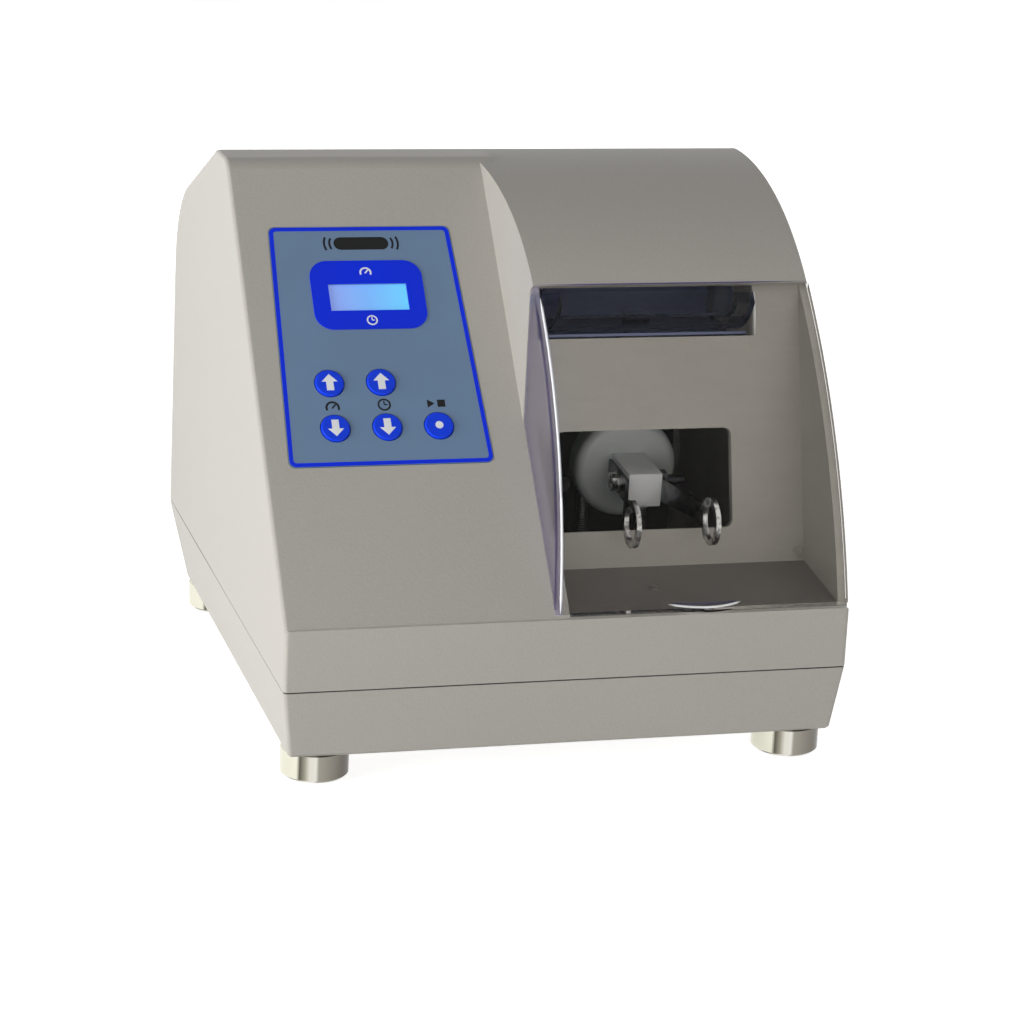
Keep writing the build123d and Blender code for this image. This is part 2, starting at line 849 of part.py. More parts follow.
# ---------------------------------------------------------------- feet and case screws
pad_pocket = pad_thickness - pad_stand
for foot_name, foot_spot in foot_places.items():
    with BuildPart() as foot:
        with BuildSketch(Plane.XY.offset(pad_stand)):
            with Locations(foot_spot):
                Circle(foot_radius)
        extrude(amount=tray_z - pad_stand)
        chamfer(foot.edges().filter_by(GeomType.CIRCLE), length=foot_edge)
        with BuildSketch(Plane.XY.offset(pad_stand)):
            with Locations(foot_spot):
                Circle(pad_radius + screw_slack)
        extrude(amount=pad_pocket, mode=Mode.SUBTRACT)
        with BuildSketch(Plane.XY.offset(pad_thickness)):
            with Locations(foot_spot):
                Circle(case_head_radius + screw_slack)
        extrude(amount=case_head_height, mode=Mode.SUBTRACT)
        with BuildSketch(Plane.XY.offset(pad_thickness)):
            with Locations(foot_spot):
                Circle(case_screw_radius + screw_slack)
        extrude(amount=tray_z, mode=Mode.SUBTRACT)
    save(foot.part, f"foot_{foot_name}")

with BuildPart() as foot_pads:
    with BuildSketch(Plane.XY):
        with Locations(*foot_spots):
            Circle(pad_radius)
    extrude(amount=pad_thickness)
    chamfer(foot_pads.faces().group_by(Axis.Z)[0].edges(), length=pad_stand / 2)
save(foot_pads.part, "foot_pads")

foot_seat_z = pad_thickness + case_head_height
with BuildPart() as foot_screws:
    with BuildSketch(Plane.XY.offset(foot_seat_z)):
        with Locations(*foot_spots):
            Circle(case_screw_radius)
    extrude(amount=tray_z + foot_screw_grip - foot_seat_z)
    with BuildSketch(Plane.XY.offset(foot_seat_z)):
        with Locations(*foot_spots):
            Circle(case_head_radius)
    extrude(amount=-case_head_height)
save(foot_screws.part, "foot_screws")

case_seat_z = tray_z + case_seat_height
with BuildPart() as case_screws:
    with BuildSketch(Plane.XY.offset(case_seat_z)):
        with Locations(*case_screw_spots):
            Circle(case_screw_radius)
    extrude(amount=parting_z + case_screw_grip - case_seat_z)
    with BuildSketch(Plane.XY.offset(case_seat_z)):
        with Locations(*case_screw_spots):
            Circle(case_head_radius)
    extrude(amount=-case_head_height)
    with BuildSketch(Plane.XY.offset(case_seat_z - case_head_height)):
        with Locations(*case_screw_spots):
            Rectangle(case_head_radius * recess_share, recess_width)
            Rectangle(recess_width, case_head_radius * recess_share)
    extrude(amount=recess_depth, mode=Mode.SUBTRACT)
save(case_screws.part, "case_screws")

with BuildPart() as liner_screws:
    for liner_plane in liner_screw_planes:
        with BuildSketch(liner_plane):
            Circle(liner_screw_radius)
        extrude(amount=-liner_screw_grip)
        with BuildSketch(liner_plane):
            Circle(liner_screw_head)
        extrude(amount=liner_screw_head_height)
save(liner_screws.part, "liner_screws")

# ---------------------------------------------------------------- lid
def arc_band(inner, outer, start, end):
    """A ring segment about the hinge axis in the side view."""
    with BuildSketch() as band:
        with BuildLine():
            near = CenterArc((hinge_y, hinge_z), inner, start, end - start)
            far = CenterArc((hinge_y, hinge_z), outer, start, end - start)
            Line(near @ 0, far @ 0)
            Line(near @ 1, far @ 1)
        make_face()
    return band.sketch


with BuildPart() as lid_hollow:
    with BuildSketch(Plane.YZ.offset(step_x - 1)):
        add(bulge_outline(parting_z))
        offset(amount=-lid_wall, kind=Kind.INTERSECTION, mode=Mode.REPLACE)
    extrude(amount=right_x - step_x + 2)
    split(bisect_by=step_plane.offset(lid_wall))

with BuildPart() as lid:
    with BuildSketch(Plane.YZ.offset(step_x - 1)):
        add(bulge_outline(parting_z))
        add(recess_outline(-lid_gap), mode=Mode.INTERSECT)
    extrude(amount=right_x - step_x + 1)
    split(bisect_by=step_plane)
    flank = lid.faces().sort_by(Axis.X)[-1]
    fillet(flank.edges().sort_by(Axis.Y)[0], radius=edge_round)
    add(lid_hollow.part, mode=Mode.SUBTRACT)
    # The left side stays clear of the sloped face
    with BuildSketch(Plane.YZ.offset(step_x - 1)):
        add(slope_outline(parting_z))
        offset(amount=lid_gap, kind=Kind.INTERSECTION, mode=Mode.REPLACE)
    extrude(amount=recess_x + lid_gap - step_x + 1, mode=Mode.SUBTRACT)
    # The top edge swings clear of the bulge
    with BuildSketch(Plane.YZ.offset(step_x - 1)):
        with Locations((hinge_y, hinge_z)):
            Circle(seam_reach + swing_clearance)
    extrude(amount=case_width, mode=Mode.SUBTRACT)
    # Curved hinge arms that reach through the slot, and the leaf between them
    for arm_x in (left_arm_x, right_arm_x):
        with BuildSketch(Plane.YZ.offset(arm_x)):
            add(arc_band(arm_inner, arm_outer, arm_start_angle, arm_end_angle))
            with Locations((hinge_y, hinge_z)):
                Rectangle(
                    arm_inner + 1, spoke_width, rotation=spoke_angle,
                    align=(Align.MIN, Align.CENTER),
                )
                Circle(arm_hub_radius)
            add(bulge_outline(parting_z), mode=Mode.INTERSECT)
            with Locations((hinge_y, hinge_z)):
                Circle(pin_radius + pin_clearance, mode=Mode.SUBTRACT)
        extrude(amount=arm_width)
    with BuildSketch(Plane.YZ.offset(left_arm_x)):
        add(arc_band(arm_outer - leaf_thickness, arm_outer, leaf_start_angle, leaf_end_angle))
    extrude(amount=right_arm_x + arm_width - left_arm_x)
    # Finger lip at the foot of the lid
    with BuildSketch(Plane.XY.offset(band_z + lip_lift)):
        lip_root_y = ledge_y + lip_root
        with BuildLine():
            lip_edge = ThreePointArc(
                (lip_x - lip_width / 2, lip_root_y),
                (lip_x, front_y - lip_out),
                (lip_x + lip_width / 2, lip_root_y),
            )
            Line(lip_edge @ 0, lip_edge @ 1)
        make_face()
    extrude(amount=lip_thickness)
save(lid.part, "lid")

left_pin_end = ear_spots[0] + ear_thickness + pin_over
right_pin_start = ear_spots[1] - pin_over
right_pin_end = ear_spots[2] + ear_thickness + pin_over
with BuildPart() as hinge_pins:
    with BuildSketch(Plane.YZ.offset(strip_inner_x - wall + pin_clearance)):
        with Locations((hinge_y, hinge_z)):
            Circle(pin_radius)
    extrude(amount=left_pin_end - strip_inner_x + wall - pin_clearance)
    with BuildSketch(Plane.YZ.offset(right_pin_start)):
        with Locations((hinge_y, hinge_z)):
            Circle(pin_radius)
    extrude(amount=right_pin_end - right_pin_start)
save(hinge_pins.part, "hinge_pins")

with BuildPart() as pin_clips:
    clip_spots = (
        ear_spots[0] + ear_thickness,
        ear_spots[1] - pin_clip_thickness,
        ear_spots[2] + ear_thickness,
    )
    for clip_x in clip_spots:
        with BuildSketch(Plane.YZ.offset(clip_x)):
            with Locations((hinge_y, hinge_z)):
                Circle(pin_clip_radius)
                Circle(pin_radius, mode=Mode.SUBTRACT)
            with Locations((hinge_y, hinge_z - pin_clip_radius)):
                Rectangle(pin_radius, 2 * pin_clip_radius, mode=Mode.SUBTRACT)
        extrude(amount=pin_clip_thickness)
save(pin_clips.part, "pin_clips")

magnet_way = (0, cos(radians(magnet_angle)), sin(radians(magnet_angle)))
magnet_reach = arm_outer - leaf_thickness - magnet_glue
with BuildPart() as lid_magnet:
    magnet_plane = Plane(
        origin=(
            magnet_x, hinge_y + magnet_reach * magnet_way[1], hinge_z + magnet_reach * magnet_way[2],
        ),
        x_dir=(1, 0, 0),
        z_dir=magnet_way,
    )
    with BuildSketch(magnet_plane):
        Rectangle(magnet_size[0], magnet_size[1])
    extrude(amount=-magnet_size[2])
save(lid_magnet.part, "lid_magnet")

with BuildPart() as lid_sensor:
    sensor_plane = Plane(
        origin=(magnet_x, *wall_point(seam_rise - sensor_drop, wall)),
        x_dir=(1, 0, 0),
        z_dir=(0, cos(radians(recess_tilt)), -sin(radians(recess_tilt))),
    )
    with BuildSketch(sensor_plane):
        Rectangle(sensor_size[0], sensor_size[1])
    extrude(amount=sensor_size[2])
save(lid_sensor.part, "lid_sensor")

# ---------------------------------------------------------------- control panel
with BuildPart() as keypad_panel:
    with BuildSketch(slope_plane.offset(-panel_sink)):
        add(panel_outline(0))
        with Locations(*key_spots):
            Circle(key_radius + key_gap, mode=Mode.SUBTRACT)
        with Locations((0, display_rise)):
            Rectangle(display_width, display_height, mode=Mode.SUBTRACT)
    extrude(amount=panel_thickness)
save(keypad_panel.part, "keypad_panel")

with BuildPart() as display_bezel:
    with BuildSketch(slope_plane.offset(panel_thickness - panel_sink)):
        with Locations((0, bezel_rise)):
            RectangleRounded(bezel_width, bezel_height, bezel_round)
        with Locations((0, display_rise)):
            Rectangle(display_width, display_height, mode=Mode.SUBTRACT)
    extrude(amount=bezel_thickness)
save(display_bezel.part, "display_bezel")

with BuildPart() as display_window:
    with BuildSketch(slope_plane.offset(-panel_sink)):
        with Locations((0, display_rise)):
            Rectangle(display_width + display_margin, display_height + display_margin)
    extrude(amount=-window_thickness)
save(display_window.part, "display_window")

with BuildPart() as display_module:
    with BuildSketch(slope_plane.offset(board_top)):
        with Locations((0, display_rise)):
            Rectangle(bezel_width, bezel_height - board_inset)
    extrude(amount=-wall - key_gap - board_top)
    with BuildSketch(slope_plane.offset(board_top)):
        with Locations((0, display_rise)):
            Rectangle(display_width, display_height)
    extrude(amount=-panel_sink - window_thickness - key_gap - board_top)
save(display_module.part, "display_module")

with BuildPart() as control_board:
    with BuildSketch(slope_plane.offset(board_top)):
        with Locations((0, (board_low + board_high) / 2)):
            Rectangle(board_width, board_high - board_low)
        with Locations(*board_screw_spots):
            Circle(small_screw_radius + screw_slack, mode=Mode.SUBTRACT)
    extrude(amount=-board_thickness)
save(control_board.part, "control_board")

with BuildPart() as tact_switches:
    with BuildSketch(slope_plane.offset(board_top)):
        with Locations(*key_spots):
            Rectangle(switch_size, switch_size)
    extrude(amount=switch_height)
    with BuildSketch(slope_plane.offset(board_top + switch_height)):
        with Locations(*key_spots):
            Circle(plunger_radius)
    extrude(amount=plunger_height)
save(tact_switches.part, "tact_switches")

with BuildPart() as board_screws:
    with BuildSketch(slope_plane.offset(board_back)):
        with Locations(*board_screw_spots):
            Circle(small_screw_radius)
    extrude(amount=board_thickness + small_head_radius * 2 - screw_slack)
    with BuildSketch(slope_plane.offset(board_back)):
        with Locations(*board_screw_spots):
            Circle(small_head_radius)
    extrude(amount=-small_head_height)
    with BuildSketch(Plane.XY.offset(power_board_z + board_thickness)):
        with Locations(*power_screw_spots):
            Circle(small_screw_radius)
    extrude(amount=-board_thickness - power_standoff + screw_slack)
    with BuildSketch(Plane.XY.offset(power_board_z + board_thickness)):
        with Locations(*power_screw_spots):
            Circle(small_head_radius)
    extrude(amount=small_head_height)
save(board_screws.part, "board_screws")

for key_name, key_spot in key_places.items():
    with BuildPart() as key:
        with BuildSketch(slope_plane.offset(key_back)):
            with Locations(key_spot):
                Circle(key_radius)
        extrude(amount=key_stand - key_back)
        crown = key.faces().sort_by(Axis((0, 0, 0), slope_normal))[-1]
        chamfer(crown.edges(), length=key_stand / 2)
        with BuildSketch(slope_plane.offset(key_back)):
            with Locations(key_spot):
                Circle(key_radius + key_flange_margin)
        extrude(amount=key_flange)
        with BuildSketch(slope_plane.offset(stem_end)):
            with Locations(key_spot):
                Circle(key_stem_radius)
        extrude(amount=key_stem)
    save(key.part, key_name)

# ---------------------------------------------------------------- swing head
with BuildPart() as swing_head:
    with BuildSketch(head_plane.offset(-disc_back)):
        Circle(disc_radius)
    extrude(amount=disc_back + disc_front)
    rims = swing_head.edges().filter_by(GeomType.CIRCLE)
    front_rim = rims.sort_by(Axis((0, 0, 0), head_plane.z_dir))[-1]
    fillet(front_rim, radius=disc_crown)
    with BuildSketch(head_plane.offset(disc_front - 1)):
        Rectangle(block_size, block_size)
    extrude(amount=block_reach - disc_front + 1)
    # Bore for the bearing, from the rear, with a relief for the turning parts
    with BuildSketch(head_plane.offset(-disc_back - 1)):
        Circle(bearing_radius)
    extrude(amount=disc_back + 1 + bearing_width / 2, mode=Mode.SUBTRACT)
    with BuildSketch(head_plane):
        Circle(race_land)
    extrude(amount=bearing_width / 2 + bore_relief, mode=Mode.SUBTRACT)
    # Cross hole for the clamp screw
    with BuildSketch(head_side.offset(block_size)):
        with Locations((clamp_reach, 0)):
            Circle(clamp_radius)
    extrude(amount=-2 * block_size, mode=Mode.SUBTRACT)
    # Posts for the retaining springs
    with BuildSketch(head_plane.offset(-disc_back)):
        with Locations((-spring_x, -spring_drop), (spring_x, -spring_drop)):
            Circle(spring_post_radius)
    extrude(amount=disc_back - spring_back - spring_post_over)
save(swing_head.part, "swing_head")

for clip_name, side in (("clip_left", -1), ("clip_right", 1)):
    with BuildPart() as clip:
        with BuildSketch(head_plan.offset(-ring_radius)):
            near_x = block_size / 2
            with BuildLine():
                Polyline(
                    (side * near_x, -clip_root), (side * near_x, -block_reach),
                    (side * (clip_spread - clip_thickness / 2), -clip_neck),
                    (side * (clip_spread - clip_thickness / 2), -ring_reach - ring_radius),
                    (side * (clip_spread - clip_thickness / 2 + ring_thickness),
                     -ring_reach - ring_radius),
                    (side * (clip_spread - clip_thickness / 2 + ring_thickness), -clip_neck),
                    (side * (near_x + clip_thickness), -block_reach),
                    (side * (near_x + clip_thickness), -clip_root),
                    close=True,
                )
            make_face()
        extrude(amount=2 * ring_radius)
        with BuildSketch(head_side.offset(-side * clip_spread)):
            with BuildLine():
                Polyline(
                    (clip_root, -clip_root_height / 2), (block_reach, -clip_root_height / 2),
                    (ring_reach, -clip_tip_height / 2), (ring_reach, clip_tip_height / 2),
                    (block_reach, clip_root_height / 2), (clip_root, clip_root_height / 2),
                    close=True,
                )
            make_face()
            with Locations((ring_reach, 0)):
                Circle(ring_radius)
                Circle(ring_bore, mode=Mode.SUBTRACT)
            with Locations((clamp_reach, 0)):
                Circle(clamp_radius, mode=Mode.SUBTRACT)
        extrude(amount=clip_spread, both=True, mode=Mode.INTERSECT)
    save(clip.part, clip_name)

clip_outer = block_size / 2 + clip_thickness
washer_outer = clip_outer + washer_thickness
nut_outer = washer_outer + nut_thickness
with BuildPart() as clamp_screw:
    with BuildSketch(head_side.offset(washer_outer)):
        with Locations((clamp_reach, 0)):
            Circle(clamp_radius)
    extrude(amount=-washer_outer - nut_outer - clamp_tail)
    with BuildSketch(head_side.offset(washer_outer)):
        with Locations((clamp_reach, 0)):
            Circle(clamp_head_radius)
    extrude(amount=clamp_head_height)
    with BuildSketch(head_side.offset(washer_outer + clamp_head_height)):
        with Locations((clamp_reach, 0)):
            Rectangle(clamp_head_radius * recess_share, recess_width)
            Rectangle(recess_width, clamp_head_radius * recess_share)
    extrude(amount=-recess_depth, mode=Mode.SUBTRACT)
save(clamp_screw.part, "clamp_screw")

with BuildPart() as clamp_washers:
    for washer_start in (clip_outer, -washer_outer):
        with BuildSketch(head_side.offset(washer_start)):
            with Locations((clamp_reach, 0)):
                Circle(washer_radius)
                Circle(clamp_radius, mode=Mode.SUBTRACT)
        extrude(amount=washer_thickness)
save(clamp_washers.part, "clamp_washers")

with BuildPart() as clamp_nut:
    with BuildSketch(head_side.offset(-nut_outer)):
        with Locations((clamp_reach, 0)):
            RegularPolygon(nut_width / 2, 6, major_radius=False)
            Circle(clamp_radius, mode=Mode.SUBTRACT)
    extrude(amount=nut_thickness)
save(clamp_nut.part, "clamp_nut")

# ---------------------------------------------------------------- swing bearing
with BuildPart() as bearing_outer:
    with BuildSketch(head_plane.offset(-bearing_width / 2)):
        Circle(bearing_radius)
        Circle(race_radius + 2 * ball_radius + 2 * fit_gap, mode=Mode.SUBTRACT)
    extrude(amount=bearing_width)
    for shield_start in (-bearing_width / 2, bearing_width / 2 - shield_thickness):
        with BuildSketch(head_plane.offset(shield_start)):
            Circle(bearing_radius - 1)
            Circle(race_radius + shield_gap, mode=Mode.SUBTRACT)
        extrude(amount=shield_thickness)
save(bearing_outer.part, "bearing_outer")

with BuildPart() as bearing_inner:
    with BuildSketch(head_plane.offset(-bearing_width / 2)):
        Circle(race_radius)
        Circle(journal_radius, mode=Mode.SUBTRACT)
    extrude(amount=bearing_width)
save(bearing_inner.part, "bearing_inner")

with BuildPart() as one_ball:
    with BuildSketch(Plane.XZ):
        RegularPolygon(ball_radius, ball_sides)
        with Locations((-ball_radius, 0)):
            Rectangle(2 * ball_radius, 2 * ball_radius, mode=Mode.SUBTRACT)
    revolve(axis=Axis.Z)
ball = one_ball.part

with BuildPart() as bearing_balls:
    with Locations(head_plane):
        with PolarLocations(race_radius + ball_radius + fit_gap, ball_count):
            add(ball)
save(bearing_balls.part, "bearing_balls")

# ---------------------------------------------------------------- motor
collar_y = pivot_y + collar_front
bell_front_y = motor_y
can_front_y = motor_y + bell_length
shaft_end_y = rear_bell_y + bell_length - 1
with BuildPart() as rotor_shaft:
    with BuildSketch(rear_plane(collar_y + collar_length / 2)):
        with Locations((-drive_x, drive_z)):
            Circle(shaft_radius)
    extrude(amount=shaft_end_y - collar_y - collar_length / 2)
    with BuildSketch(rear_plane(collar_y)):
        with Locations((-drive_x, drive_z)):
            Circle(collar_radius)
    extrude(amount=collar_length)
    with BuildSketch(head_plane.offset(journal_end)):
        Circle(journal_radius)
    extrude(amount=-journal_end - collar_front - collar_length / 2)
save(rotor_shaft.part, "rotor_shaft")

with BuildPart() as armature:
    with BuildSketch(rear_plane(can_front_y + armature_end_gap)):
        with Locations((-drive_x, drive_z)):
            Circle(armature_radius)
            Circle(shaft_radius, mode=Mode.SUBTRACT)
    extrude(amount=can_length - 2 * armature_end_gap)
save(armature.part, "armature")

with BuildPart() as motor_can:
    with BuildSketch(rear_plane(can_front_y)):
        with Locations((-drive_x, drive_z)):
            Circle(motor_radius)
            Circle(motor_radius - can_wall, mode=Mode.SUBTRACT)
    extrude(amount=can_length)
save(motor_can.part, "motor_can")

with BuildPart() as motor_front_bell:
    with BuildSketch(rear_plane(bell_front_y)):
        with Locations((-drive_x, drive_z)):
            Circle(bell_radius)
    extrude(amount=bell_length)
    with BuildSketch(rear_plane(plate_y)):
        with Locations((-drive_x, drive_z)):
            Circle(pilot_radius)
    extrude(amount=plate_thickness)
    with BuildSketch(rear_plane(plate_y - 1)):
        with Locations((-drive_x, drive_z)):
            Circle(shaft_radius + 4 * shield_gap)
    extrude(amount=plate_thickness + bell_length + 2, mode=Mode.SUBTRACT)
    with BuildSketch(rear_plane(can_front_y - motor_bearing_width)):
        with Locations((-drive_x, drive_z)):
            Circle(motor_bearing_radius)
    extrude(amount=motor_bearing_width + 1, mode=Mode.SUBTRACT)
    with BuildSketch(front_plane(bell_front_y)):
        with Locations((drive_x, drive_z)):
            with PolarLocations(motor_screw_circle, 3, start_angle=90):
                Circle(mount_screw_radius)
    extrude(amount=-motor_screw_grip, mode=Mode.SUBTRACT)
save(motor_front_bell.part, "motor_front_bell")

with BuildPart() as motor_rear_bell:
    with BuildSketch(rear_plane(rear_bell_y)):
        with Locations((-drive_x, drive_z)):
            Circle(bell_radius)
            Circle(motor_bearing_radius, mode=Mode.SUBTRACT)
            with PolarLocations(bell_vent_circle, bell_vent_count):
                Circle(bell_vent_radius, mode=Mode.SUBTRACT)
    extrude(amount=bell_length)
save(motor_rear_bell.part, "motor_rear_bell")

with BuildPart() as motor_bearings:
    for race_y in (can_front_y - motor_bearing_width, rear_bell_y + 2):
        with BuildSketch(rear_plane(race_y)):
            with Locations((-drive_x, drive_z)):
                Circle(motor_bearing_radius)
                Circle(shaft_radius + fit_gap, mode=Mode.SUBTRACT)
        extrude(amount=motor_bearing_width)
save(motor_bearings.part, "motor_bearings")

motor_seat = Plane(origin=(drive_x, plate_y, drive_z), x_dir=(1, 0, 0), z_dir=(0, -1, 0))
with BuildPart() as motor_screws:
    with BuildSketch(motor_seat):
        with PolarLocations(motor_screw_circle, 3, start_angle=90):
            Circle(mount_screw_radius)
    extrude(amount=-plate_thickness - motor_screw_grip + screw_slack)
    with BuildSketch(motor_seat):
        with PolarLocations(motor_screw_circle, 3, start_angle=90):
            Circle(mount_head_radius)
    extrude(amount=mount_head_height)
save(motor_screws.part, "motor_screws")

# ---------------------------------------------------------------- motor bracket
plate_left_x = drive_x - plate_left
plate_right_x = drive_x + plate_right
plate_top_z = drive_z + plate_over
spring_y = pivot_y + spring_back
spring_top_z = drive_z - spring_drop * skew_cos + spring_back * skew_sin
spring_foot_z = spring_top_z - spring_length
with BuildPart() as motor_bracket:
    with BuildSketch(rear_plane(plate_y)):
        with BuildLine():
            Polyline(
                (-plate_right_x, flange_z), (-plate_left_x, flange_z),
                (-plate_left_x, plate_top_z), (-plate_right_x, plate_top_z), close=True,
            )
        make_face()
        with Locations((-drive_x, drive_z)):
            Circle(pilot_radius + fit_gap, mode=Mode.SUBTRACT)
    extrude(amount=plate_thickness)
    high = motor_bracket.edges().filter_by(Axis.Y).sort_by(Axis.Z)[-2:]
    fillet(high, radius=plate_corner)
    with BuildSketch(Plane.XY.offset(flange_z)):
        with Locations(((plate_left_x + plate_right_x) / 2, plate_y)):
            Rectangle(
                plate_right_x - plate_left_x, flange_length, align=(Align.CENTER, Align.MIN)
            )
    extrude(amount=plate_thickness)
    for gusset_x in (plate_left_x, plate_right_x - gusset_thickness):
        with BuildSketch(Plane.YZ.offset(gusset_x)):
            gusset_y = plate_y + plate_thickness / 2
            gusset_z = flange_z + plate_thickness / 2
            with BuildLine():
                Polyline(
                    (gusset_y, gusset_z), (gusset_y + gusset_height, gusset_z),
                    (gusset_y, gusset_z + gusset_height), close=True,
                )
            make_face()
        extrude(amount=gusset_thickness)
    with BuildSketch(motor_seat):
        with PolarLocations(motor_screw_circle, 3, start_angle=90):
            Circle(mount_screw_radius + screw_slack)
    extrude(amount=-plate_thickness - 1, mode=Mode.SUBTRACT)
    with BuildSketch(Plane.XY.offset(flange_z - 1)):
        with Locations(*mount_spots):
            Circle(mount_screw_radius + screw_slack)
    extrude(amount=plate_thickness + 2, mode=Mode.SUBTRACT)
    with BuildSketch(front_plane(plate_y + plate_thickness / 2)):
        with Locations((drive_x - spring_x, spring_foot_z), (drive_x + spring_x, spring_foot_z)):
            Circle(spring_post_radius)
    extrude(amount=plate_y + plate_thickness / 2 - spring_y + spring_post_over)
save(motor_bracket.part, "motor_bracket")

with BuildPart() as bracket_mounts:
    with BuildSketch(Plane.XY.offset(tray_floor_z + mount_boss_height)):
        with Locations(*mount_spots):
            Circle(mount_radius)
            Circle(mount_screw_radius, mode=Mode.SUBTRACT)
    extrude(amount=mount_height)
save(bracket_mounts.part, "bracket_mounts")

with BuildPart() as bracket_screws:
    with BuildSketch(Plane.XY.offset(flange_z + plate_thickness)):
        with Locations(*mount_spots):
            Circle(mount_screw_radius)
    extrude(amount=-plate_thickness - mount_height - mount_screw_depth)
    with BuildSketch(Plane.XY.offset(flange_z + plate_thickness)):
        with Locations(*mount_spots):
            Circle(mount_head_radius)
    extrude(amount=mount_head_height)
save(bracket_screws.part, "bracket_screws")

# ---------------------------------------------------------------- retaining springs
eye_drop = spring_eye_radius - spring_post_radius - spring_wire
for spring_name, side in (("spring_left", -1), ("spring_right", 1)):
    with BuildPart() as spring:
        top_eye_z = spring_top_z - eye_drop
        foot_eye_z = spring_foot_z + eye_drop
        with BuildSketch(Plane.XY.offset(foot_eye_z + spring_eye_radius)):
            with Locations((drive_x + side * spring_x, spring_y)):
                Circle(spring_radius)
        extrude(amount=top_eye_z - foot_eye_z - 2 * spring_eye_radius)
        for eye_z in (foot_eye_z, top_eye_z):
            eye_plane = Plane(
                origin=(drive_x + side * spring_x, spring_y, eye_z),
                x_dir=(1, 0, 0),
                z_dir=(0, -1, 0),
            )
            with BuildSketch(eye_plane.offset(-spring_wire)):
                Circle(spring_eye_radius + spring_wire)
                Circle(spring_eye_radius - spring_wire, mode=Mode.SUBTRACT)
            extrude(amount=2 * spring_wire)
    save(spring.part, spring_name)

# ---------------------------------------------------------------- mains inlet
socket_z = tray_z + socket_rise
socket_floor_y = rear_y - socket_well
blade_spots = [
    (-socket_x - blade_pitch, socket_z), (-socket_x, socket_z + blade_lift),
    (-socket_x + blade_pitch, socket_z),
]
with BuildPart() as mains_inlet:
    with BuildSketch(rear_plane(rear_y)):
        with Locations((-socket_x, socket_z)):
            Rectangle(socket_width, socket_height)
    extrude(amount=-socket_depth)
    with BuildSketch(rear_plane(rear_y)):
        with Locations((-socket_x, socket_z)):
            RectangleRounded(socket_flange_width, socket_flange_height, edge_round)
    extrude(amount=socket_flange_thickness)
    with BuildSketch(rear_plane(socket_floor_y)) as well:
        half_width = socket_width / 2 - socket_wall
        half_height = socket_height / 2 - socket_wall
        with BuildLine():
            Polyline(
                (-socket_x - half_width, socket_z - half_height),
                (-socket_x + half_width, socket_z - half_height),
                (-socket_x + half_width, socket_z + half_height - socket_bevel),
                (-socket_x + half_width - socket_bevel, socket_z + half_height),
                (-socket_x - half_width + socket_bevel, socket_z + half_height),
                (-socket_x - half_width, socket_z + half_height - socket_bevel),
                close=True,
            )
        make_face()
    extrude(amount=socket_well + socket_flange_thickness, mode=Mode.SUBTRACT)
    with BuildSketch(rear_plane(rear_y - socket_depth)):
        with Locations(*blade_spots):
            Rectangle(blade_width, blade_height)
    extrude(amount=socket_depth, mode=Mode.SUBTRACT)
    with BuildSketch(rear_plane(rear_y)):
        with Locations((-socket_x, socket_z)):
            with GridLocations(socket_screw_pitch, 1, 2, 1):
                Circle(small_screw_radius + screw_slack)
    extrude(amount=socket_flange_thickness, mode=Mode.SUBTRACT)
save(mains_inlet.part, "mains_inlet")

with BuildPart() as inlet_pins:
    with BuildSketch(rear_plane(rear_y - socket_depth - tab_length)):
        with Locations(*blade_spots):
            Rectangle(blade_width, blade_height)
    extrude(amount=tab_length + socket_depth - socket_well + blade_length)
save(inlet_pins.part, "inlet_pins")

with BuildPart() as inlet_screws:
    with BuildSketch(rear_plane(rear_y + socket_flange_thickness)):
        with Locations((-socket_x, socket_z)):
            with GridLocations(socket_screw_pitch, 1, 2, 1):
                Circle(small_screw_radius)
    extrude(amount=-socket_flange_thickness - socket_screw_grip)
    with BuildSketch(rear_plane(rear_y + socket_flange_thickness)):
        with Locations((-socket_x, socket_z)):
            with GridLocations(socket_screw_pitch, 1, 2, 1):
                Circle(small_head_radius)
    extrude(amount=small_head_height)
    with BuildSketch(rear_plane(rear_y + socket_flange_thickness + small_head_height)):
        with Locations((-socket_x, socket_z)):
            with GridLocations(socket_screw_pitch, 1, 2, 1):
                Rectangle(small_head_radius * recess_share, recess_width)
                Rectangle(recess_width, small_head_radius * recess_share)
    extrude(amount=-recess_depth, mode=Mode.SUBTRACT)
save(inlet_screws.part, "inlet_screws")

# ---------------------------------------------------------------- fuse holder
with BuildPart() as fuse_holder:
    with BuildSketch(rear_plane(rear_y)):
        with Locations((-fuse_x, socket_z)):
            Circle(fuse_radius)
    extrude(amount=-fuse_depth)
    with BuildSketch(rear_plane(rear_y)):
        with Locations((-fuse_x, socket_z)):
            Circle(fuse_flange_radius)
    extrude(amount=fuse_flange_thickness)
save(fuse_holder.part, "fuse_holder")

with BuildPart() as fuse_cap:
    with BuildSketch(rear_plane(rear_y + fuse_flange_thickness)):
        with Locations((-fuse_x, socket_z)):
            Circle(fuse_cap_radius)
    extrude(amount=rear_out - fuse_flange_thickness)
    chamfer(fuse_cap.faces().sort_by(Axis.Y)[-1].edges(), length=foot_edge)
    with BuildSketch(rear_plane(rear_y + rear_out)):
        with Locations((-fuse_x, socket_z)):
            Rectangle(2 * fuse_cap_radius, fuse_slot_width)
    extrude(amount=-fuse_slot_depth, mode=Mode.SUBTRACT)
save(fuse_cap.part, "fuse_cap")

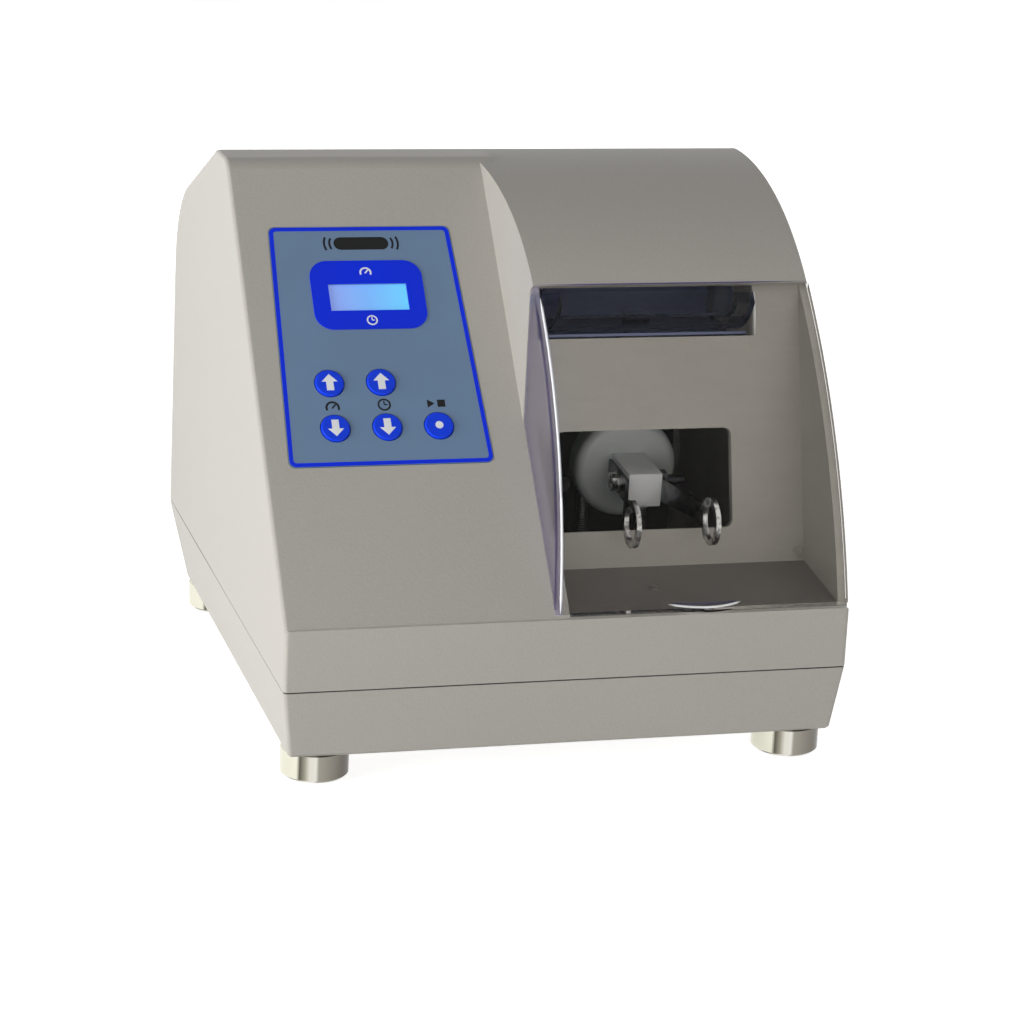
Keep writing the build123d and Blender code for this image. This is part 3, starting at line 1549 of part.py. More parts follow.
# ---------------------------------------------------------------- rocker switch
rocker_y = rear_y - rocker_sink
rocker_tilt_sin = sin(radians(rocker_tilt))
rocker_tilt_cos = cos(radians(rocker_tilt))
rocker_piece_width = rocker_opening_width - 2 * rocker_side_gap
rocker_side = Plane(
    origin=(rocker_x - rocker_piece_width / 2, rocker_y, socket_z),
    x_dir=(0, rocker_tilt_cos, -rocker_tilt_sin),
    z_dir=(1, 0, 0),
)
with BuildPart() as rocker_frame:
    with BuildSketch(rear_plane(rear_y)):
        with Locations((-rocker_x, socket_z)):
            Rectangle(rocker_width, rocker_height)
    extrude(amount=-rocker_depth)
    with BuildSketch(rear_plane(rear_y)):
        with Locations((-rocker_x, socket_z)):
            RectangleRounded(
                rocker_width + 2 * rocker_margin, rocker_height + 2 * rocker_margin, edge_round
            )
    extrude(amount=rocker_flange)
    with BuildSketch(rear_plane(rear_y + rocker_flange)):
        with Locations((-rocker_x, socket_z)):
            Rectangle(rocker_opening_width, rocker_opening_height)
    extrude(amount=-rocker_flange - rocker_opening_depth, mode=Mode.SUBTRACT)
    with BuildSketch(Plane.YZ.offset(rocker_x - rocker_width / 2)):
        with Locations((rocker_y, socket_z)):
            Circle(rocker_pin_radius + pin_clearance)
    extrude(amount=rocker_width, mode=Mode.SUBTRACT)
save(rocker_frame.part, "rocker_frame")

with BuildPart() as power_rocker:
    with BuildSketch(rocker_side):
        with BuildLine():
            Polyline(
                (-rocker_root, 0), (0, -rocker_root), (rocker_face - 1, -rocker_half),
                (rocker_face, -rocker_half), (rocker_valley, 0), (rocker_face, rocker_half),
                (rocker_face - 1, rocker_half), (0, rocker_root), close=True,
            )
        make_face()
    extrude(amount=rocker_piece_width)
    with BuildSketch(rocker_side.offset(-2 * rocker_side_gap)):
        Circle(rocker_pin_radius)
    extrude(amount=rocker_piece_width + 4 * rocker_side_gap)
save(power_rocker.part, "power_rocker")

# ---------------------------------------------------------------- power board
board_top_z = power_board_z + board_thickness
core_y = front_y + core_run
with BuildPart() as power_board:
    with BuildSketch(Plane.XY.offset(power_board_z)):
        with Locations((power_board_x, power_mid_y)):
            Rectangle(power_board_width, power_board_length)
        with Locations(*power_screw_spots):
            Circle(small_screw_radius + screw_slack, mode=Mode.SUBTRACT)
    extrude(amount=board_thickness)
save(power_board.part, "power_board")

with BuildPart() as transformer_core:
    with BuildSketch(front_plane(core_y - core_depth / 2)):
        with Locations((core_x, board_top_z + core_height / 2)):
            Rectangle(core_width, core_height)
            with GridLocations(core_width / 2, 1, 2, 1):
                Rectangle(core_slot_width, core_slot_height, mode=Mode.SUBTRACT)
    extrude(amount=-core_depth)
save(transformer_core.part, "transformer_core")

limb_width = core_width / 2 - core_slot_width
with BuildPart() as transformer_coil:
    with BuildSketch(Plane.XY.offset(board_top_z + core_height / 2)):
        with Locations((core_x, core_y)):
            RectangleRounded(
                limb_width + 2 * (core_slot_width - coil_gap), core_depth + 2 * coil_margin,
                core_slot_width / 2,
            )
            Rectangle(limb_width + 2 * coil_gap, core_depth + 2 * coil_gap, mode=Mode.SUBTRACT)
    extrude(amount=core_slot_height / 2 - coil_gap, both=True)
save(transformer_coil.part, "transformer_coil")

with BuildPart() as power_components:
    for part_x, part_run, part_radius, part_height in capacitor_places:
        with BuildSketch(Plane.XY.offset(board_top_z)):
            with Locations((power_board_x + part_x, front_y + part_run)):
                Circle(part_radius)
        extrude(amount=part_height)
    for part_x, part_run, part_width, part_length, part_height in block_places:
        with BuildSketch(Plane.XY.offset(board_top_z)):
            with Locations((power_board_x + part_x, front_y + part_run)):
                Rectangle(part_width, part_length)
        extrude(amount=part_height)
    with BuildSketch(Plane.XY.offset(board_top_z)):
        with Locations((power_board_x + sink_x, front_y + sink_run)):
            Rectangle(fin_thickness, sink_length)
            with GridLocations(1, sink_length / (fin_count - 1) * 0.96, 1, fin_count):
                Rectangle(sink_width, fin_thickness)
    extrude(amount=sink_height)
save(power_components.part, "power_components")
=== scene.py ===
"""Looks of the dental amalgamator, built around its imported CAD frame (Blender 4.5)."""

import math

import bmesh
import bpy
from mathutils import Matrix, Vector


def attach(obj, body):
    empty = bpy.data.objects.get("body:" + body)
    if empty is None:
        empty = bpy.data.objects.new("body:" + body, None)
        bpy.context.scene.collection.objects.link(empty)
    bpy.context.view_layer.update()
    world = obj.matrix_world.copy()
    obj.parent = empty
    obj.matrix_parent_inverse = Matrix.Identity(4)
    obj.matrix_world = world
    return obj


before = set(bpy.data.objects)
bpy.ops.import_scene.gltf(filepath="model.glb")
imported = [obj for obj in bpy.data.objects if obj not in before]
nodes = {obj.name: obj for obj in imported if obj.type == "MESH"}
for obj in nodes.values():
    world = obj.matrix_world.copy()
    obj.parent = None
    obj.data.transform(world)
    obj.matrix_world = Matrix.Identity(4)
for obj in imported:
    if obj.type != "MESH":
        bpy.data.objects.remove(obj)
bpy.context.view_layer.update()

MM = 0.001
scene = bpy.context.scene


# ------------------------------------------------------------------ colours
def srgb(red, green, blue):
    """A display colour, 0 to 255, as linear light with alpha 1."""
    linear = []
    for value in (red, green, blue):
        value /= 255
        linear.append(value / 12.92 if value <= 0.04045 else ((value + 0.055) / 1.055) ** 2.4)
    return (*linear, 1.0)


# ------------------------------------------------------------------ material nodes
class Shader:
    """One node material, with short calls for the nodes that the materials share."""

    def __init__(self, name):
        self.material = bpy.data.materials.new(name)
        self.material.use_nodes = True
        self.tree = self.material.node_tree
        self.bsdf = self.tree.nodes["Principled BSDF"]
        self.place = self.node("ShaderNodeTexCoord").outputs["Object"]

    def node(self, kind, **settings):
        """A new node with its own settings."""
        made = self.tree.nodes.new(kind)
        for key, value in settings.items():
            setattr(made, key, value)
        return made

    def link(self, source, target):
        """Joins two sockets."""
        self.tree.links.new(source, target)

    def set(self, **values):
        """Constants on the shader's own sockets."""
        for key, value in values.items():
            self.bsdf.inputs[key.replace("_", " ")].default_value = value

    def scaled(self, scale):
        """Object coordinates times a scale per axis."""
        mapping = self.node("ShaderNodeMapping")
        mapping.inputs["Scale"].default_value = scale
        self.link(self.place, mapping.inputs["Vector"])
        return mapping.outputs["Vector"]

    def noise(self, size, detail=3.0, rough=0.55, place=None):
        """Noise whose features are about size metres."""
        made = self.node("ShaderNodeTexNoise")
        made.inputs["Scale"].default_value = 1 / size
        made.inputs["Detail"].default_value = detail
        made.inputs["Roughness"].default_value = rough
        self.link(place or self.place, made.inputs["Vector"])
        return made.outputs["Fac"]

    def ramp(self, factor, stops):
        """A colour ramp of (position, colour) stops over a factor."""
        made = self.node("ShaderNodeValToRGB")
        elements = made.color_ramp.elements
        while len(elements) < len(stops):
            elements.new(0.5)
        for element, (position, colour) in zip(elements, stops):
            element.position = position
            element.color = colour
        self.link(factor, made.inputs["Fac"])
        return made.outputs["Color"]

    def span(self, factor, low, high):
        """Maps a 0 to 1 factor to the range low to high."""
        made = self.node("ShaderNodeMapRange")
        made.inputs["To Min"].default_value = low
        made.inputs["To Max"].default_value = high
        self.link(factor, made.inputs["Value"])
        return made.outputs["Result"]

    def math(self, operation, first, second):
        """A maths node; each input is a socket or a number."""
        made = self.node("ShaderNodeMath", operation=operation)
        for socket, value in zip(made.inputs, (first, second)):
            if isinstance(value, (int, float)):
                socket.default_value = value
            else:
                self.link(value, socket)
        return made.outputs["Value"]

    def mix(self, factor, first, second):
        """Two colours mixed by a factor; each is a socket or a colour."""
        made = self.node("ShaderNodeMix", data_type="RGBA")
        self.link(factor, made.inputs["Factor"])
        for socket, value in ((made.inputs[6], first), (made.inputs[7], second)):
            if isinstance(value, tuple):
                socket.default_value = value
            else:
                self.link(value, socket)
        return made.outputs[2]

    def bump(self, height, depth, strength=1.0):
        """Bump of a given depth in metres."""
        made = self.node("ShaderNodeBump")
        made.inputs["Distance"].default_value = depth
        made.inputs["Strength"].default_value = strength
        self.link(height, made.inputs["Height"])
        self.link(made.outputs["Normal"], self.bsdf.inputs["Normal"])

    def colour(self, source):
        """Base colour from a socket."""
        self.link(source, self.bsdf.inputs["Base Color"])

    def rough(self, source):
        """Roughness from a socket."""
        self.link(source, self.bsdf.inputs["Roughness"])


def shade(colour, factor):
    """A colour made darker or lighter."""
    return (*(min(value * factor, 1.0) for value in colour[:3]), 1.0)


def plastic(name, colour, rough=0.45, grain=0.0005, depth=0.00003, vary=0.05, mottle=0.03):
    """Moulded plastic: slightly uneven colour and gloss over a fine moulded grain."""
    shader = Shader(name)
    patches = shader.noise(mottle, 2.0)
    fine = shader.noise(grain, 2.0, 0.6)
    both = shader.math("ADD", shader.math("MULTIPLY", patches, 0.7), shader.math("MULTIPLY", fine, 0.3))
    shader.colour(shader.ramp(both, [
        (0.3, shade(colour, 1 - vary)), (0.5, colour), (0.7, shade(colour, 1 + vary)),
    ]))
    shader.rough(shader.span(patches, rough - 0.06, rough + 0.06))
    shader.bump(fine, depth)
    shader.set(IOR=1.49)
    return shader


def metal(name, colour, rough=0.25, along=(1, 1, 1), depth=0.000004, line=0.0004, vary=0.08):
    """Bare or plated metal with fine working marks stretched along an axis."""
    shader = Shader(name)
    marks = shader.noise(line, 4.0, 0.7, shader.scaled(along))
    patches = shader.noise(0.008, 2.0)
    shader.colour(shader.ramp(patches, [(0.3, shade(colour, 1 - vary)), (0.7, colour)]))
    shader.rough(shader.span(marks, rough - 0.07, rough + 0.09))
    shader.bump(marks, depth)
    shader.set(Metallic=1.0)
    return shader


def clamp_steel():
    """The clamp screw: painted highlights in bright patches at its head, and darker towards its tail."""
    shader = metal("clamp_steel", srgb(150, 150, 148), rough=0.22, line=0.0003, vary=0.3)
    spot = shader.node("ShaderNodeSeparateXYZ")
    shader.link(shader.place, spot.inputs[0])
    along = shader.node("ShaderNodeMapRange")
    along.inputs["From Min"].default_value = 0.042
    along.inputs["From Max"].default_value = 0.054
    shader.link(spot.outputs["X"], along.inputs["Value"])
    # Painted highlights: bright white patches over the head of the screw
    glint_patches = shader.noise(0.002, 3.0)
    head = shader.ramp(glint_patches, [(0.4, srgb(96, 96, 98)), (0.55, srgb(244, 244, 244))])
    shader.colour(shader.mix(along.outputs["Result"], head, srgb(56, 56, 60)))
    return shader


def clip_steel():
    """Drawn spring steel, with painted shade making it dull and dark along the arms, and painted highlights on the
    rings that hold a capsule.
    """
    shader = metal("clip_steel", srgb(150, 150, 148), rough=0.2, along=(8, 1, 8))
    spot = shader.node("ShaderNodeSeparateXYZ")
    shader.link(shader.place, spot.inputs[0])
    forward = shader.node("ShaderNodeMapRange")
    forward.inputs["From Min"].default_value = -0.070
    forward.inputs["From Max"].default_value = -0.080
    shader.link(spot.outputs["Y"], forward.inputs["Value"])
    patches = shader.noise(0.004, 3.0)
    # Painted shade on the arms inside the recess, painted highlights on the rings in front
    arm = shader.ramp(patches, [(0.35, srgb(88, 88, 92)), (0.65, srgb(132, 132, 134))])
    ring = shader.ramp(patches, [(0.4, srgb(112, 112, 113)), (0.58, srgb(226, 226, 225))])
    shader.colour(shader.mix(forward.outputs["Result"], arm, ring))
    return shader


def turned_chrome():
    """Bright plating on a turned foot, with painted reflections: light and dark bands round it, set by which way the
    surface faces, as if it mirrored a room.
    """
    shader = Shader("turned_chrome")
    facing = shader.node("ShaderNodeSeparateXYZ")
    shader.link(shader.node("ShaderNodeNewGeometry").outputs["Normal"], facing.inputs[0])
    turn = shader.math("MULTIPLY_ADD", facing.outputs["X"], 0.5)
    turn.node.inputs[2].default_value = 0.5
    marks = shader.noise(0.0006, 3.0, 0.6, shader.scaled((1, 1, 14)))
    # Painted reflections: the colour follows which way the surface faces
    bands = shader.ramp(turn, [
        (0.0, srgb(214, 212, 196)), (0.16, srgb(222, 220, 204)), (0.2, srgb(84, 80, 70)),
        (0.27, srgb(150, 146, 132)), (0.33, srgb(206, 203, 192)), (0.42, srgb(212, 210, 202)),
        (0.46, srgb(146, 142, 132)), (0.72, srgb(120, 116, 108)), (0.9, srgb(96, 92, 86)),
        (0.965, srgb(30, 28, 26)), (0.985, srgb(38, 36, 34)), (0.997, srgb(188, 184, 174)),
    ])
    shader.colour(bands)
    shader.rough(shader.span(marks, 0.16, 0.26))
    shader.set(Metallic=1.0)
    return shader


def banded(name, first, second, pitch, axis, rough=0.5, metallic=0.0, width=0.5, depth=0.00005):
    """Thin even layers along an axis: laminations, windings or fins."""
    shader = Shader(name)
    split = shader.node("ShaderNodeSeparateXYZ")
    shader.link(shader.place, split.inputs[0])
    wave = shader.math("FRACT", shader.math("DIVIDE", split.outputs[axis], pitch), 0.0)
    ridge = shader.math("PINGPONG", wave, 0.5)
    dirt = shader.noise(0.004, 3.0)
    mixed = shader.mix(shader.math("GREATER_THAN", ridge, width / 2), second, first)
    shader.colour(shader.mix(shader.math("MULTIPLY", dirt, 0.35), mixed, shade(first, 0.6)))
    shader.rough(shader.span(dirt, rough - 0.08, rough + 0.1))
    shader.bump(ridge, depth)
    shader.set(Metallic=metallic)
    return shader


# ------------------------------------------------------------------ the materials
CASE = srgb(176, 172, 165)
# The slanted left flank of the bulge: its normal, and its distance from the origin in metres
STEP_NORMAL = (0.98769, 0.11484, -0.10623)
STEP_START = -0.026417
HINGE_Y, HINGE_Z = -35.0, 171.0
ARC_Y, ARC_Z, ARC_RADIUS = 108.2, -2.9, 235.6


def case_plastic():
    """Warm grey sprayed plastic with a fine leathery spark, on the housing and the tray."""
    shader = Shader("case_plastic")
    cloud = shader.noise(0.09, 2.0, 0.5)
    spark = shader.noise(0.0007, 2.0, 0.65)
    pebble = shader.node("ShaderNodeTexVoronoi", feature="SMOOTH_F1")
    pebble.inputs["Scale"].default_value = 900
    pebble.inputs["Smoothness"].default_value = 0.6
    shader.link(shader.place, pebble.inputs["Vector"])
    tone = shader.ramp(cloud, [(0.3, shade(CASE, 0.975)), (0.7, shade(CASE, 1.02))])
    speck = shader.ramp(spark, [(0.32, srgb(164, 160, 152)), (0.5, srgb(176, 172, 165)), (0.7, srgb(184, 180, 173))])
    factor = shader.node("ShaderNodeValue")
    factor.outputs[0].default_value = 0.3
    plain = shader.mix(factor.outputs[0], tone, speck)
    spot = shader.node("ShaderNodeSeparateXYZ")
    shader.link(shader.place, spot.inputs[0])
    facing = shader.node("ShaderNodeSeparateXYZ")
    shader.link(shader.node("ShaderNodeNewGeometry").outputs["Normal"], facing.inputs[0])
    level = shader.math("GREATER_THAN", facing.outputs["Z"], 0.7)
    above = shader.math("GREATER_THAN", spot.outputs["Z"], 0.0505)
    low = shader.math("MULTIPLY", above, shader.math("LESS_THAN", spot.outputs["Z"], 0.09))
    level_low = shader.math("MULTIPLY", level, low)
    # Painted shade on the floor of the recess, in cloudy patches
    behind = shader.math("GREATER_THAN", spot.outputs["Y"], -0.1183)
    beside = shader.math("GREATER_THAN", spot.outputs["X"], -0.0008)
    inside = shader.math("MULTIPLY", level_low, shader.math("MULTIPLY", behind, beside))
    recess_shade = shader.math("MULTIPLY", inside, shader.span(cloud, 0.65, 0.95))
    recess_shaded = shader.mix(recess_shade, plain, srgb(96, 91, 89))
    # Painted light on the narrow ledge over the front band, which faces up and gets little lamp light
    ledge = shader.math("MULTIPLY", level_low, shader.math("LESS_THAN", spot.outputs["Y"], -0.1187))
    ledge_lit = shader.mix(shader.math("MULTIPLY", ledge, 0.7), recess_shaded, srgb(222, 218, 210))
    # The shadow gap between the tray and the housing
    gap = shader.math("COMPARE", spot.outputs["Z"], 0.03685)
    gap.node.inputs[2].default_value = 0.00026
    shader.colour(shader.mix(gap, ledge_lit, srgb(48, 45, 43)))
    shader.rough(shader.span(cloud, 0.4, 0.5))
    shader.bump(shader.math("ADD", pebble.outputs["Distance"], shader.math("MULTIPLY", spark, 0.5)), 0.00004)
    shader.set(IOR=1.49)
    return shader


def panel_film():
    """Satin grey-blue polyester film of the keypad, with its fine print grain."""
    shader = plastic("panel_film", srgb(104, 130, 160), rough=0.36, grain=0.00025, depth=0.00001, vary=0.04)
    return shader


def smoked_lid():
    """Clear plastic with a faint smoke and wiping marks, hazy and violet in its left wall."""
    shader = Shader("smoked_lid")
    wipes = shader.noise(0.02, 5.0, 0.65, shader.scaled((1.0, 6.0, 2.0)))
    smoke = shader.ramp(wipes, [(0.3, (0.80, 0.79, 0.77, 1)), (0.7, (0.85, 0.84, 0.82, 1))])
    inward = shader.node("ShaderNodeVectorMath", operation="DOT_PRODUCT")
    inward.inputs[1].default_value = STEP_NORMAL
    shader.link(shader.place, inward.inputs[0])
    wall = shader.node("ShaderNodeMapRange")
    wall.inputs["From Min"].default_value = STEP_START + 0.0022
    wall.inputs["From Max"].default_value = STEP_START + 0.0032
    wall.inputs["To Min"].default_value = 1.0
    wall.inputs["To Max"].default_value = 0.0
    shader.link(inward.outputs["Value"], wall.inputs["Value"])
    side = wall.outputs["Result"]
    from_hinge = shader.node("ShaderNodeVectorMath", operation="DISTANCE")
    in_side_view = shader.node("ShaderNodeVectorMath", operation="MULTIPLY")
    in_side_view.inputs[1].default_value = (0, 1, 1)
    shader.link(shader.place, in_side_view.inputs[0])
    shader.link(in_side_view.outputs["Vector"], from_hinge.inputs[0])
    from_hinge.inputs[1].default_value = (0, HINGE_Y * MM, HINGE_Z * MM)
    from_centre = shader.node("ShaderNodeVectorMath", operation="DISTANCE")
    shader.link(in_side_view.outputs["Vector"], from_centre.inputs[0])
    from_centre.inputs[1].default_value = (0, ARC_Y * MM, ARC_Z * MM)
    arms = shader.math(
        "MULTIPLY", shader.math("LESS_THAN", from_hinge.outputs["Value"], 0.0236),
        shader.math("LESS_THAN", from_centre.outputs["Value"], (ARC_RADIUS - 3.0) * MM),
    )
    walls = shader.mix(side, smoke, (0.80, 0.78, 0.93, 1))
    shader.colour(shader.mix(arms, walls, (0.60, 0.66, 0.84, 1)))
    haze = shader.math("ADD", shader.math("MULTIPLY", side, 0.3), shader.math("MULTIPLY", arms, 0.4))
    shader.rough(shader.math("ADD", shader.span(wipes, 0.01, 0.04), haze))
    shader.set(Transmission_Weight=1.0, IOR=1.14)
    return shader


def nylon():
    """Milky nylon of the swing head, greener and duller in the disc behind its block, a painted shade, and lighter
    on the block in front.
    """
    shader = Shader("nylon")
    cloud = shader.noise(0.012, 3.0)
    fine = shader.noise(0.0009, 2.0)
    spot = shader.node("ShaderNodeSeparateXYZ")
    shader.link(shader.place, spot.inputs[0])
    forward = shader.node("ShaderNodeMapRange")
    forward.inputs["From Min"].default_value = -0.026
    forward.inputs["From Max"].default_value = -0.034
    shader.link(spot.outputs["Y"], forward.inputs["Value"])
    # Painted shade: the disc behind the block is darker and greener, the block in front lighter
    disc = shader.ramp(cloud, [(0.3, srgb(180, 197, 188)), (0.7, srgb(194, 209, 201))])
    block = shader.ramp(cloud, [(0.3, srgb(246, 248, 250)), (0.7, srgb(253, 254, 255))])
    shader.colour(shader.mix(forward.outputs["Result"], disc, block))
    shader.rough(shader.span(cloud, 0.26, 0.4))
    shader.bump(fine, 0.00002)
    shader.set(Subsurface_Weight=0.35, Subsurface_Radius=(0.004, 0.0036, 0.003), Subsurface_Scale=1.0)
    return shader


def glowing_display():
    """Backlit display, from a violet blue on its left to a pale cyan on its right."""
    shader = Shader("display")
    spot = shader.node("ShaderNodeSeparateXYZ")
    shader.link(shader.place, spot.inputs[0])
    across = shader.node("ShaderNodeMapRange")
    across.inputs["From Min"].default_value = -0.074
    across.inputs["From Max"].default_value = -0.042
    shader.link(spot.outputs["X"], across.inputs["Value"])
    tone = shader.ramp(across.outputs["Result"], [
        (0.0, srgb(140, 160, 236)), (0.5, srgb(116, 176, 244)), (1.0, srgb(100, 204, 252)),
    ])
    grid = shader.noise(0.0006, 2.0)
    shader.colour(shader.mix(shader.math("MULTIPLY", grid, 0.12), tone, srgb(60, 90, 170)))
    shader.link(tone, shader.bsdf.inputs["Emission Color"])
    shader.set(Emission_Strength=0.38, IOR=1.49)
    shader.rough(shader.span(grid, 0.1, 0.16))
    return shader


def circuit_board():
    """Green solder mask over copper tracks, with drilled pads."""
    shader = Shader("circuit_board")
    tracks = shader.node("ShaderNodeTexBrick", offset=0.5, squash=0.7)
    tracks.inputs["Scale"].default_value = 160
    tracks.inputs["Mortar Size"].default_value = 0.03
    tracks.inputs["Color1"].default_value = srgb(24, 92, 52)
    tracks.inputs["Color2"].default_value = srgb(30, 104, 58)
    tracks.inputs["Mortar"].default_value = srgb(52, 130, 74)
    shader.link(shader.place, tracks.inputs["Vector"])
    pads = shader.node("ShaderNodeTexVoronoi", feature="F1")
    pads.inputs["Scale"].default_value = 260
    shader.link(shader.place, pads.inputs["Vector"])
    pad = shader.math("LESS_THAN", pads.outputs["Distance"], 0.16)
    shader.colour(shader.mix(pad, tracks.outputs["Color"], srgb(190, 188, 176)))
    shader.rough(shader.span(shader.noise(0.01), 0.3, 0.42))
    shader.bump(tracks.outputs["Fac"], 0.00003)
    return shader


MATERIALS = {
    "case": case_plastic(),
    "panel": panel_film(),
    "lid": smoked_lid(),
    "nylon": nylon(),
    "board": circuit_board(),
    "blue_print": plastic("blue_print", srgb(2, 46, 232), rough=0.3, grain=0.0003, depth=0.000008, vary=0.06),
    "blue_key": plastic("blue_key", srgb(6, 62, 232), rough=0.26, grain=0.0004, depth=0.00001, vary=0.05),
    "white_print": plastic("white_print", srgb(238, 240, 242), rough=0.4, grain=0.0003, depth=0.000006, vary=0.02),
    "black_print": plastic("black_print", srgb(6, 7, 9), rough=0.42, grain=0.0003, depth=0.000006, vary=0.06),
    "display": glowing_display(),
    "display_back": plastic("display_back", srgb(96, 150, 226), rough=0.3, vary=0.06),
    "chrome": turned_chrome(),
    "steel": metal("steel", srgb(150, 149, 147), rough=0.2, along=(8, 1, 8), vary=0.45),
    # Painted shade for the sheet behind the hinge slot
    "slot_shade": plastic("slot_shade", srgb(136, 146, 186), rough=0.5, grain=0.0006, depth=0.00002, vary=0.12),
    # Painted highlight and painted dark line for the edges of the lid, the hinge slot and the seam
    "edge_highlight": plastic("edge_highlight", srgb(246, 247, 250), rough=0.2, grain=0.0004, depth=0.000006, vary=0.02),
    "edge_shade_line": plastic("edge_shade_line", srgb(70, 62, 110), rough=0.3, grain=0.0004, depth=0.000006, vary=0.15),
    "screw": metal("screw", srgb(196, 196, 192), rough=0.3, line=0.0003),
    "dark_screw": metal("dark_screw", srgb(72, 72, 74), rough=0.38, line=0.0003, vary=0.2),
    "spring": banded("spring", srgb(176, 176, 174), srgb(60, 60, 60), 0.0009, 2, 0.3, 1.0, 0.3, 0.0002),
    "clamp_steel": clamp_steel(),
    "clip_steel": clip_steel(),
    "pin_steel": metal("pin_steel", srgb(64, 68, 82), rough=0.4, vary=0.2),
    "brass": metal("brass", srgb(206, 178, 112), rough=0.3),
    "bracket": plastic("bracket", srgb(20, 19, 21), rough=0.6, grain=0.0007, depth=0.00002, vary=0.1),
    "zinc": metal("zinc", srgb(172, 174, 178), rough=0.36, line=0.001, depth=0.00001),
    "rubber": plastic("rubber", srgb(34, 34, 35), rough=0.72, grain=0.0008, depth=0.00006),
    "black": plastic("black", srgb(26, 26, 28), rough=0.42, grain=0.0007, depth=0.00004),
    "switch_black": plastic("switch_black", srgb(30, 30, 31), rough=0.32, grain=0.0005, depth=0.00002),
    "laminations": banded("laminations", srgb(120, 120, 122), srgb(70, 66, 62), 0.0012, 1, 0.5, 1.0),
    "windings": banded("windings", srgb(190, 108, 54), srgb(110, 54, 24), 0.0011, 2, 0.35, 0.6),
    "armature": banded("armature", srgb(132, 132, 134), srgb(176, 104, 60), 0.0060, 1, 0.42, 0.8, 0.7),
    "components": plastic("components", srgb(42, 46, 58), rough=0.4, grain=0.0012, depth=0.00002, vary=0.25, mottle=0.02),
    "magnet": metal("magnet", srgb(58, 62, 74), rough=0.3),
    "switch_body": plastic("switch_body", srgb(58, 58, 62), rough=0.4),
}

NODE_LOOKS = {
    "case": ("base_tray", "upper_housing"),
    "panel": ("keypad_panel",),
    "lid": ("lid",),
    "nylon": ("swing_head",),
    "board": ("control_board", "power_board"),
    "blue_print": ("display_bezel",),
    "blue_key": ("key_speed_up", "key_speed_down", "key_timer_up", "key_timer_down", "key_start_stop"),
    "display": ("display_window",),
    "display_back": ("display_module",),
    "chrome": ("foot_front_left", "foot_front_right", "foot_rear_left", "foot_rear_right"),
    "clip_steel": ("clip_left", "clip_right"),
    "steel": ("rotor_shaft", "bearing_outer", "bearing_inner", "bearing_balls"),
    "screw": ("clamp_washers", "liner_screws", "motor_screws"),
    "clamp_steel": ("clamp_screw",),
    "pin_steel": ("hinge_pins", "pin_clips"),
    "dark_screw": ("clamp_nut", "case_screws", "foot_screws", "board_screws", "bracket_screws", "inlet_screws"),
    "brass": ("inlet_pins",),
    "bracket": ("motor_bracket",),
    "zinc": ("motor_can", "motor_front_bell", "motor_rear_bell", "motor_bearings"),
    "rubber": ("foot_pads", "bracket_mounts"),
    "black": ("mains_inlet", "fuse_holder", "fuse_cap", "rocker_frame"),
    "switch_black": ("power_rocker",),
    "laminations": ("transformer_core",),
    "windings": ("transformer_coil",),
    "armature": ("armature",),
    "components": ("power_components",),
    "magnet": ("lid_magnet",),
    "switch_body": ("tact_switches", "lid_sensor"),
    "spring": ("spring_left", "spring_right"),
}
for look in ("blue_print", "blue_key", "black_print"):
    MATERIALS[look].set(Specular_IOR_Level=0.22)
for look, names in NODE_LOOKS.items():
    for name in names:
        nodes[name].data.materials.clear()
        nodes[name].data.materials.append(MATERIALS[look].material)


# ------------------------------------------------------------------ the sloped face
PANEL_X = -57.8
LEDGE_Y = -119.0
BAND_Z = 59.6
SLOPE_COS = 0.67905
SLOPE_SIN = 0.73408
PANEL_TOP = 0.2
BEZEL_TOP = 0.6
KEY_TOP = 1.0
PRINT = 0.04


def on_slope(across, up, out=0.0):
    """A point of the sloped face, from millimetres across, up the slope and out of it."""
    return Vector((
        PANEL_X + across,
        LEDGE_Y + up * SLOPE_COS - out * SLOPE_SIN,
        BAND_Z + up * SLOPE_SIN + out * SLOPE_COS,
    )) * MM


def keep_mesh(name, mesh, look, body):
    """Makes an object of a finished bmesh, with its material, riding on a body."""
    bmesh.ops.recalc_face_normals(mesh, faces=mesh.faces)
    data = bpy.data.meshes.new(name)
    mesh.to_mesh(data)
    mesh.free()
    piece = bpy.data.objects.new(name, data)
    scene.collection.objects.link(piece)
    data.materials.append(MATERIALS[look].material)
    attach(piece, body)
    return piece


def slab(mesh, outline, low, high, holes=()):
    """A flat print on the sloped face: an outline, or a ring between it and one hole."""
    rings = []
    for loop in (outline, *holes):
        for out in (low, high):
            rings.append([mesh.verts.new(on_slope(*point, out)) for point in loop])
    for pair in range(0, len(rings), 2):
        bottom, top = rings[pair], rings[pair + 1]
        for index in range(len(bottom)):
            after = (index + 1) % len(bottom)
            mesh.faces.new((bottom[index], bottom[after], top[after], top[index]))
    if holes:
        for level in (0, 1):
            outer, inner = rings[level], rings[2 + level]
            for index in range(len(outer)):
                after = (index + 1) % len(outer)
                mesh.faces.new((outer[index], outer[after], inner[after], inner[index]))
    else:
        for level in (0, 1):
            mesh.faces.new(rings[level])


def arc_points(centre, radius, start, end, count):
    """Points along an arc, in degrees."""
    points = []
    for step in range(count):
        angle = math.radians(start + (end - start) * step / (count - 1))
        points.append((centre[0] + radius * math.cos(angle), centre[1] + radius * math.sin(angle)))
    return points


